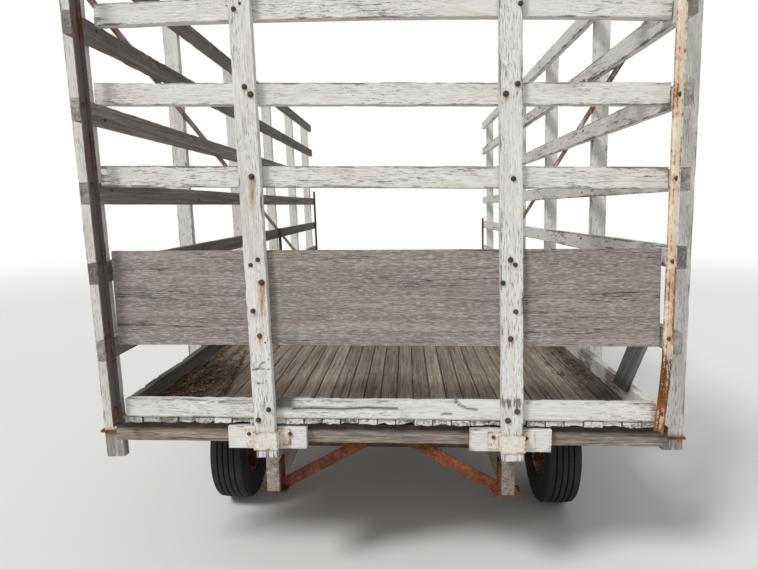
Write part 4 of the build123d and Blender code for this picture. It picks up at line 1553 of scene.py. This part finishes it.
@dataclass
class RearRack:
    """Rear posts, slats, panel and the backing blocks of the pockets."""

    deck_top: float
    slat_milling: Milling = Milling(0.02, 0.012, chips=0.007, wobble=0.0015, rot=0.006, top_wear=0.45)
    panel_milling: Milling = Milling(0.03, 0.02, 0.0012, chips=0.003, wobble=0.001)
    block_milling: Milling = Milling(0.02, 0.012, chips=0.005)
    ear_bolts: tuple[Pair, ...] = ((-0.589, 0.813), (-0.409, 0.815), (0.464, 0.811), (0.602, 0.808))
    ear_holes: tuple[Pair, ...] = ((-0.582, 0.776), (0.452, 0.779), (-0.414, 0.776), (0.597, 0.775))
    ear_face: float = -3.4291
    ear_bolt_radius: float = 0.0068
    hole_profile: tuple[Pair, ...] = (
        (0.0062, -0.0006),
        (0.0062, 0.0006),
        (0.0045, 0.0004),
        (0.0042, -0.0004),
    )
    washer_from: float = 0.0065

    def pocket_bolts(self) -> None:
        """Adds the bolt and the open hole of each pocket ear."""
        heads = Fasteners("pocket_bolts", 47)
        turn = REARWARD.to_track_quat("Z", "Y").to_matrix().to_4x4()
        for x, z in self.ear_bolts:
            heads.add(Head.HEX, Vector((x, self.ear_face, z)), REARWARD, self.ear_bolt_radius)
        for x, z in self.ear_holes:
            place = Matrix.Translation((x, self.ear_face, z)) @ turn
            heads.lathe(self.hole_profile, WASHER_CORNERS, place)
        heads.build()

    def posts(self) -> None:
        """Builds the two posts with their bolts and rust runs."""
        bolts = Fasteners("rear_post_bolts", 41)
        stains = []
        sticks = read_sticks("rear_posts", Axis.UPRIGHT)
        for stick, table in zip(sticks, (LEFT_BOLTS, RIGHT_BOLTS)):
            width = stick.size()[1]
            for bolt in table:
                u = stick.share(2, self.deck_top + bolt.height)
                spot = stick.at(u, 0.5 + bolt.across / width, 0.0)
                head = Head.HEX if bolt.radius > self.washer_from else Head.DOME
                bolts.add(head, spot, REARWARD, bolt.radius)
                if bolt.run:
                    stains.append(Stain(spot, bolt.run, 0.007 + bolt.run * 0.03, 1.3 + bolt.run * 8.0))
        creases = [
            Crack(((-0.556, 1.107), (-0.525, 1.116), (-0.482, 1.112)), 0.006),
            Crack(((-0.527, 1.130), (-0.502, 1.142), (-0.479, 1.152)), 0.005),
            Crack(((-0.552, 1.056), (-0.519, 1.048), (-0.494, 1.061)), 0.004),
            Patch((0.490, -3.60, 0.960), (0.565, -3.30, 0.985), 0.03, 0.75),
        ]
        milling = Milling(0.010, 0.008, chips=0.006, wobble=0.001, rot=0.004)
        marks = {"rust": stains, "bare": creases}
        replace_lumber("rear_posts", Axis.UPRIGHT, milling, 42, "white_wood", (Finish.POST,), marks)
        bolts.build()

    def build(self) -> None:
        """Builds the whole rear rack."""
        self.posts()
        self.pocket_bolts()
        for node, milling, finish, slot, seed in (
            ("rear_slats", self.slat_milling, Finish.SLAT, "white_wood", 43),
            ("rear_panel", self.panel_milling, Finish.PLY, "plywood", 44),
            ("rear_blocks", self.block_milling, Finish.CURB, "white_wood", 45),
        ):
            replace_lumber(node, Axis.ACROSS, milling, seed, slot, (finish,))


@dataclass
class Steelwork:
    """Uprights, straps, pockets, brace and running gear."""

    deck_top: float
    fixed_gear: tuple[str, ...] = (
        "rear_axle",
        "rear_bolster",
        "front_bolster",
        "front_axle",
        "reach_tube",
        "reach_bar",
        "rear_hounds",
        "front_hounds",
    )
    moving_gear: tuple[str, ...] = (
        "knuckle_l",
        "knuckle_r",
        "steering_head",
        "tie_rod_l",
        "tie_rod_r",
        "tongue",
    )

    def build(self) -> None:
        """Gives each steel node its worn copy."""
        low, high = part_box("corner_uprights")
        face = (low.y - 0.01, high.y + 0.01)
        rusty = (
            Patch((1.10, face[0], 0.98), (1.20, face[1], 1.15), 0.06, 1.25),
            Patch((1.163, face[0], 1.80), (1.20, face[1], 2.30), 0.006, 0.7),
            Patch((1.158, face[0], 1.30), (1.20, face[1], 1.62), 0.006, 0.6),
            Patch((1.10, face[0], 0.84), (1.20, face[1], 0.90), 0.03, 0.5),
        )
        uprights = CornerUprights("corner_uprights", cell=0.010, spread=0.003, rusty=rusty)
        # The left upright takes the dark painted-shade finish, the right one the white one.
        uprights.build(Finish.UPRIGHT_LEFT, Finish.UPRIGHT_RIGHT)
        uprights.bolts(self.deck_top)
        for node, cell, finish, right in (
            ("short_uprights", 0.02, Finish.UPRIGHT_LEFT, Finish.SHORT_RIGHT),
            ("side_pockets", 0.02, Finish.LOOP, None),
            ("rear_pockets", 0.010, Finish.POCKET, None),
            ("brace_straps", 0.05, Finish.STRAP_LEFT, Finish.STRAP_RIGHT),
            ("rear_v_brace", 0.02, Finish.BRACE_STEEL, None),
        ):
            SteelPart(node, cell=cell).build(finish, right)
        for node in self.fixed_gear:
            SteelPart(node, WAGON, "gear_steel", 0.06).build(Finish.GEAR_STEEL)
        for node in self.moving_gear:
            SteelPart(node, node, "gear_steel", 0.05).build(Finish.GEAR_STEEL)


SHARP = math.radians(32.0)


@dataclass
class Wheel:
    """A ribbed tyre on a dished rim with its hub."""

    tag: str
    side: Side
    rib_count: int = 5
    groove_depth: float = 0.011
    groove_width: float = 0.009
    tread_share: float = 0.80
    crown_drop: float = 0.006
    rib_bulge: float = 0.0006
    stud_count: int = 6
    stud_circle: float = 0.066
    stud_radius: float = 0.0095
    disc_face: float = 0.0375
    widest_flange: float = 0.075
    rim_wear: float = 0.4
    segments: int = 120

    def tyre_profile(self) -> list[Triple]:
        """The tyre's outline from its right bead to its left one.

        Returns:
            Place along the axle, radius and dust share of each point.
        """
        low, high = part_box("tyre_" + self.tag)
        half = (high.x - low.x) / 2
        outer = (high.z - low.z) / 2
        low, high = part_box("rim_" + self.tag)
        seat = (high.z - low.z) / 2 + 0.0005
        wall = outer - seat
        wall_profile = (
            (0.71, 0.00, 0.2),
            (0.80, 0.08, 0.3),
            (0.84, 0.10, 0.2),
            (0.93, 0.28, 0.3),
            (0.99, 0.48, 0.5),
            (1.00, 0.60, 0.4),
            (0.985, 0.72, 0.3),
            (0.97, 0.74, 0.2),
            (0.96, 0.84, 0.4),
            (0.92, 0.92, 0.6),
            (0.84, 0.965, 0.8),
        )
        right = [(x * half, seat + r * wall, dust) for x, r, dust in wall_profile]
        tread = half * self.tread_share
        pitch = 2 * tread / self.rib_count
        groove = self.groove_width / 2
        ribs = []
        for i in range(self.rib_count):
            x0 = tread - i * pitch
            x1 = x0 - pitch
            crown = [outer - self.rib_bulge - self.crown_drop * (abs(x) / tread) ** 2 for x in (x0, x1)]
            start = x0 if i == 0 else x0 - groove
            stop = x1 if i == self.rib_count - 1 else x1 + groove
            ribs += [
                (start, crown[0], 1.0),
                (start - 0.002, crown[0] + 0.0005, 1.0),
                (stop + 0.002, crown[1] + 0.0005, 1.0),
                (stop, crown[1], 1.0),
            ]
            if i < self.rib_count - 1:
                floor = crown[1] - self.groove_depth
                ribs += [(stop - 0.001, floor, 0.1), (stop - 2 * groove + 0.001, floor, 0.1)]
        left = [(-x, r, dust) for x, r, dust in reversed(right)]
        return right + ribs + left

    def rim_profile(self) -> list[Triple]:
        """The rim's outline from its outer flange round to its inner one.

        Returns:
            Place along the axle, radius and wear of each point.
        """
        low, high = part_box("rim_" + self.tag)
        seat = (high.z - low.z) / 2
        centre = sum(corner.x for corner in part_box("tyre_" + self.tag)) / 2
        flange = min(abs(low.x - centre), abs(high.x - centre), self.widest_flange)
        points = [
            (flange, seat - 0.0005),
            (flange, seat - 0.004),
            (flange - 0.006, seat - 0.008),
            (0.040, seat - 0.009),
            (0.032, seat - 0.014),
            (0.016, seat - 0.022),
            (0.022, seat - 0.055),
            (0.036, 0.098),
            (0.038, 0.080),
            (0.037, 0.052),
            (0.064, 0.049),
            (0.066, 0.046),
            (0.066, 0.030),
            (0.078, 0.029),
            (0.081, 0.024),
            (0.082, 0.0),
            (0.060, 0.0),
            (0.060, 0.026),
            (-0.062, 0.026),
            (-0.062, 0.049),
            (0.028, 0.050),
            (0.029, 0.098),
            (0.014, seat - 0.055),
            (0.008, seat - 0.022),
            (0.000, seat - 0.010),
            (-flange + 0.006, seat - 0.009),
            (-flange, seat - 0.004),
            (-flange, seat - 0.0005),
        ]
        return [(self.side.value * x, r, self.rim_wear) for x, r in points]

    def turn(self, name: str, profile: list[Triple], closed: bool) -> bpy.types.Mesh:
        """Turns an outline about the wheel's axle.

        Args:
            name: The mesh's name.
            profile: Place along the axle, radius and wear of each point.
            closed: Whether the outline's end joins its start.

        Returns:
            The mesh, about its own centre.
        """
        points, wear = [], []
        for x, r, share in profile:
            for i in range(self.segments):
                angle = FULL_TURN * i / self.segments
                points.append((x, r * math.cos(angle), r * math.sin(angle)))
                wear.append(share)
        mesh = bpy.data.meshes.new(name)
        mesh.from_pydata(points, [], ring_faces(0, len(profile), self.segments, closed))
        work = bmesh.new()
        work.from_mesh(mesh)
        bmesh.ops.recalc_face_normals(work, faces=work.faces)
        for edge in work.edges:
            edge.smooth = len(edge.link_faces) == 2 and edge.calc_face_angle(0.0) < SHARP
        work.to_mesh(mesh)
        work.free()
        mesh.shade_smooth()
        write_shares(mesh, wear=wear)
        return mesh

    def build(self) -> None:
        """Builds the wheel."""
        low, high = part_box("tyre_" + self.tag)
        centre = (low + high) / 2
        body = "wheel_" + self.tag
        tyre = self.turn("tyre_%s_ribbed" % self.tag, self.tyre_profile(), True)
        rim = self.turn("rim_%s_dished" % self.tag, self.rim_profile(), False)
        for mesh, finish, slot, node in (
            (tyre, Finish.RUBBER, "tyre", "tyre_"),
            (rim, Finish.RIM, "rim_paint", "rim_"),
        ):
            mesh.materials.append(finish.made())
            mesh.transform(Matrix.Translation(centre))
            place_piece(mesh, body, slot, node + self.tag)
        studs = Fasteners("studs_" + self.tag, 51)
        outward = Vector((self.side.value, 0.0, 0.0))
        for i in range(self.stud_count):
            angle = FULL_TURN * i / self.stud_count
            y, z = math.cos(angle) * self.stud_circle, math.sin(angle) * self.stud_circle
            spot = centre + Vector((self.side.value * self.disc_face, y, z))
            studs.add(Head.HEX, spot, outward, self.stud_radius)
        studs.build(body, "rim_paint")


@dataclass
class Litter:
    """Dead leaves and stalks that lie on the deck along the curbs."""

    deck_top: float
    rear: float
    left_curb: float = -1.09
    right_curb: float = 1.085
    left_share: float = 0.86
    leaf_count: int = 900
    stalk_count: int = 380

    def build(self) -> bpy.types.Object:
        """Scatters the litter.

        Returns:
            The new object.
        """
        chance = random.Random(61)
        points, faces, tone = [], [], []

        def spot() -> Vector:
            """Chooses a random place, most often beside the left curb.

            Returns:
                A point just above the deck.
            """
            if chance.random() < self.left_share:
                along = chance.triangular(0.12, 1.15, 0.50)
                x = self.left_curb + min(0.34 - 0.16 * along, chance.expovariate(6.0))
                y = self.rear + along
            else:
                x = self.right_curb - min(0.20, chance.expovariate(16.0))
                y = self.rear + chance.triangular(0.3, 1.6, 0.7)
            return Vector((x, y, self.deck_top + chance.uniform(0.002, 0.010)))

        def blade(width: float, length: float, curl: float) -> None:
            """Adds one curled blade of three cells.

            Args:
                width: The blade's width.
                length: The blade's length.
                curl: How strongly it is curled.
            """
            turn = Matrix.Rotation(chance.uniform(0.0, 6.28), 4, "Z")
            lean = Matrix.Rotation(chance.uniform(-0.35, 0.35), 4, "X")
            place = Matrix.Translation(spot()) @ turn @ lean
            first = len(points)
            shade = chance.random()
            for i in range(4):
                s = i / 3
                half = width / 2 * math.sin(math.pi * (0.12 + 0.80 * s))
                rise = curl * (s - 0.5) ** 2
                for x in (-half, half):
                    points.append(tuple(place @ Vector((x, (s - 0.5) * length, rise + abs(x) * 0.3))))
                    tone.append(shade)
            for i in range(3):
                a = first + 2 * i
                faces.append((a, a + 1, a + 3, a + 2))

        for _ in range(self.leaf_count):
            blade(chance.uniform(0.006, 0.018), chance.uniform(0.010, 0.034), chance.uniform(0.0, 0.02))
        for _ in range(self.stalk_count):
            blade(chance.uniform(0.0015, 0.0035), chance.uniform(0.04, 0.14), chance.uniform(0.0, 0.03))
        mesh = bpy.data.meshes.new("leaf_litter")
        mesh.from_pydata(points, [], faces)
        write_shares(mesh, tone=tone)
        mesh.materials.append(Finish.LITTER.made())
        return place_piece(mesh, WAGON, "deck_wood")


# Studio


@dataclass(frozen=True)
class Studio:
    """Floor, light and camera."""

    eye: Triple = (0.0961, -5.6561, 1.7848)
    yaw: float = 2.924
    pitch: float = 8.091
    roll: float = -0.497
    lens: float = 25.927
    floor_size: float = 140.0
    sun_heading: Triple = (1.1, 1.2, -1.7)
    sun_strength: float = 2.1
    sun_spread: float = 14.0
    sky: float = 0.50

    def camera(self) -> None:
        """Places the camera as the photograph was taken."""
        yaw, pitch, roll = (math.radians(v) for v in (self.yaw, self.pitch, self.roll))
        ahead = Vector((-math.sin(yaw) * math.cos(pitch), math.cos(yaw) * math.cos(pitch), -math.sin(pitch)))
        right = Vector((math.cos(yaw), math.sin(yaw), 0.0))
        up = right.cross(ahead)
        side = right * math.cos(roll) + up * math.sin(roll)
        top = up * math.cos(roll) - right * math.sin(roll)
        data = bpy.data.cameras.new("camera")
        data.lens = self.lens
        data.sensor_width = 36.0
        data.clip_end = 300.0
        camera = bpy.data.objects.new("camera", data)
        bpy.context.scene.collection.objects.link(camera)
        turn = Matrix((side, top, -ahead)).transposed().to_4x4()
        camera.matrix_world = Matrix.Translation(self.eye) @ turn
        bpy.context.scene.camera = camera

    def light(self) -> None:
        """Sets a soft sun from behind the left shoulder and a plain sky."""
        data = bpy.data.lights.new("soft_sun", "SUN")
        data.energy = self.sun_strength
        data.angle = math.radians(self.sun_spread)
        lamp = bpy.data.objects.new("soft_sun", data)
        lamp.rotation_euler = Vector(self.sun_heading).to_track_quat("-Z", "Y").to_euler()
        bpy.context.scene.collection.objects.link(lamp)
        world = bpy.data.worlds.new("studio")
        bpy.context.scene.world = world
        graph = Graph(world)
        output = graph.node("ShaderNodeOutputWorld", {}, {})
        lit = graph.node("ShaderNodeBackground", {}, {"Color": WHITE, "Strength": self.sky})
        white = graph.node("ShaderNodeBackground", {}, {"Color": WHITE, "Strength": 1.0})
        graph.white_to_camera(lit, white, output)

    def floor(self) -> None:
        """Lays the pale floor."""
        half = self.floor_size / 2
        mesh = bpy.data.meshes.new("floor")
        corners = [(-half, -half, 0), (half, -half, 0), (half, half, 0), (-half, half, 0)]
        mesh.from_pydata(corners, [], [(0, 1, 2, 3)])
        mesh.materials.append(StudioFloor().material())
        floor = bpy.data.objects.new("floor", mesh)
        bpy.context.scene.collection.objects.link(floor)
        floor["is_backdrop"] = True

    def build(self) -> None:
        """Builds the studio."""
        self.camera()
        self.light()
        self.floor()
        bpy.context.scene.view_settings.view_transform = "Standard"


def main() -> None:
    """Builds the studio and the wagon."""
    logging.basicConfig(level=logging.INFO, format="%(message)s")
    Studio().build()
    deck_low, deck_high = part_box("deck_boards")
    Bed().build()
    for side in Side:
        SideRack(side).build()
    RearRack(deck_high.z).build()
    Steelwork(deck_high.z).build()
    for tag, side in (("rl", Side.LEFT), ("rr", Side.RIGHT), ("fl", Side.LEFT), ("fr", Side.RIGHT)):
        Wheel(tag, side).build()
    Litter(deck_high.z, deck_low.y).build()
    boxes = {"cad": [list(v) for v in CAD_BOX], "visual": [list(v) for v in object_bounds()]}
    for name, (low, high) in boxes.items():
        LOG.info("%s box: %s m", name, " x ".join("%.3f" % (b - a) for a, b in zip(low, high)))


if __name__ == "__main__":
    main()
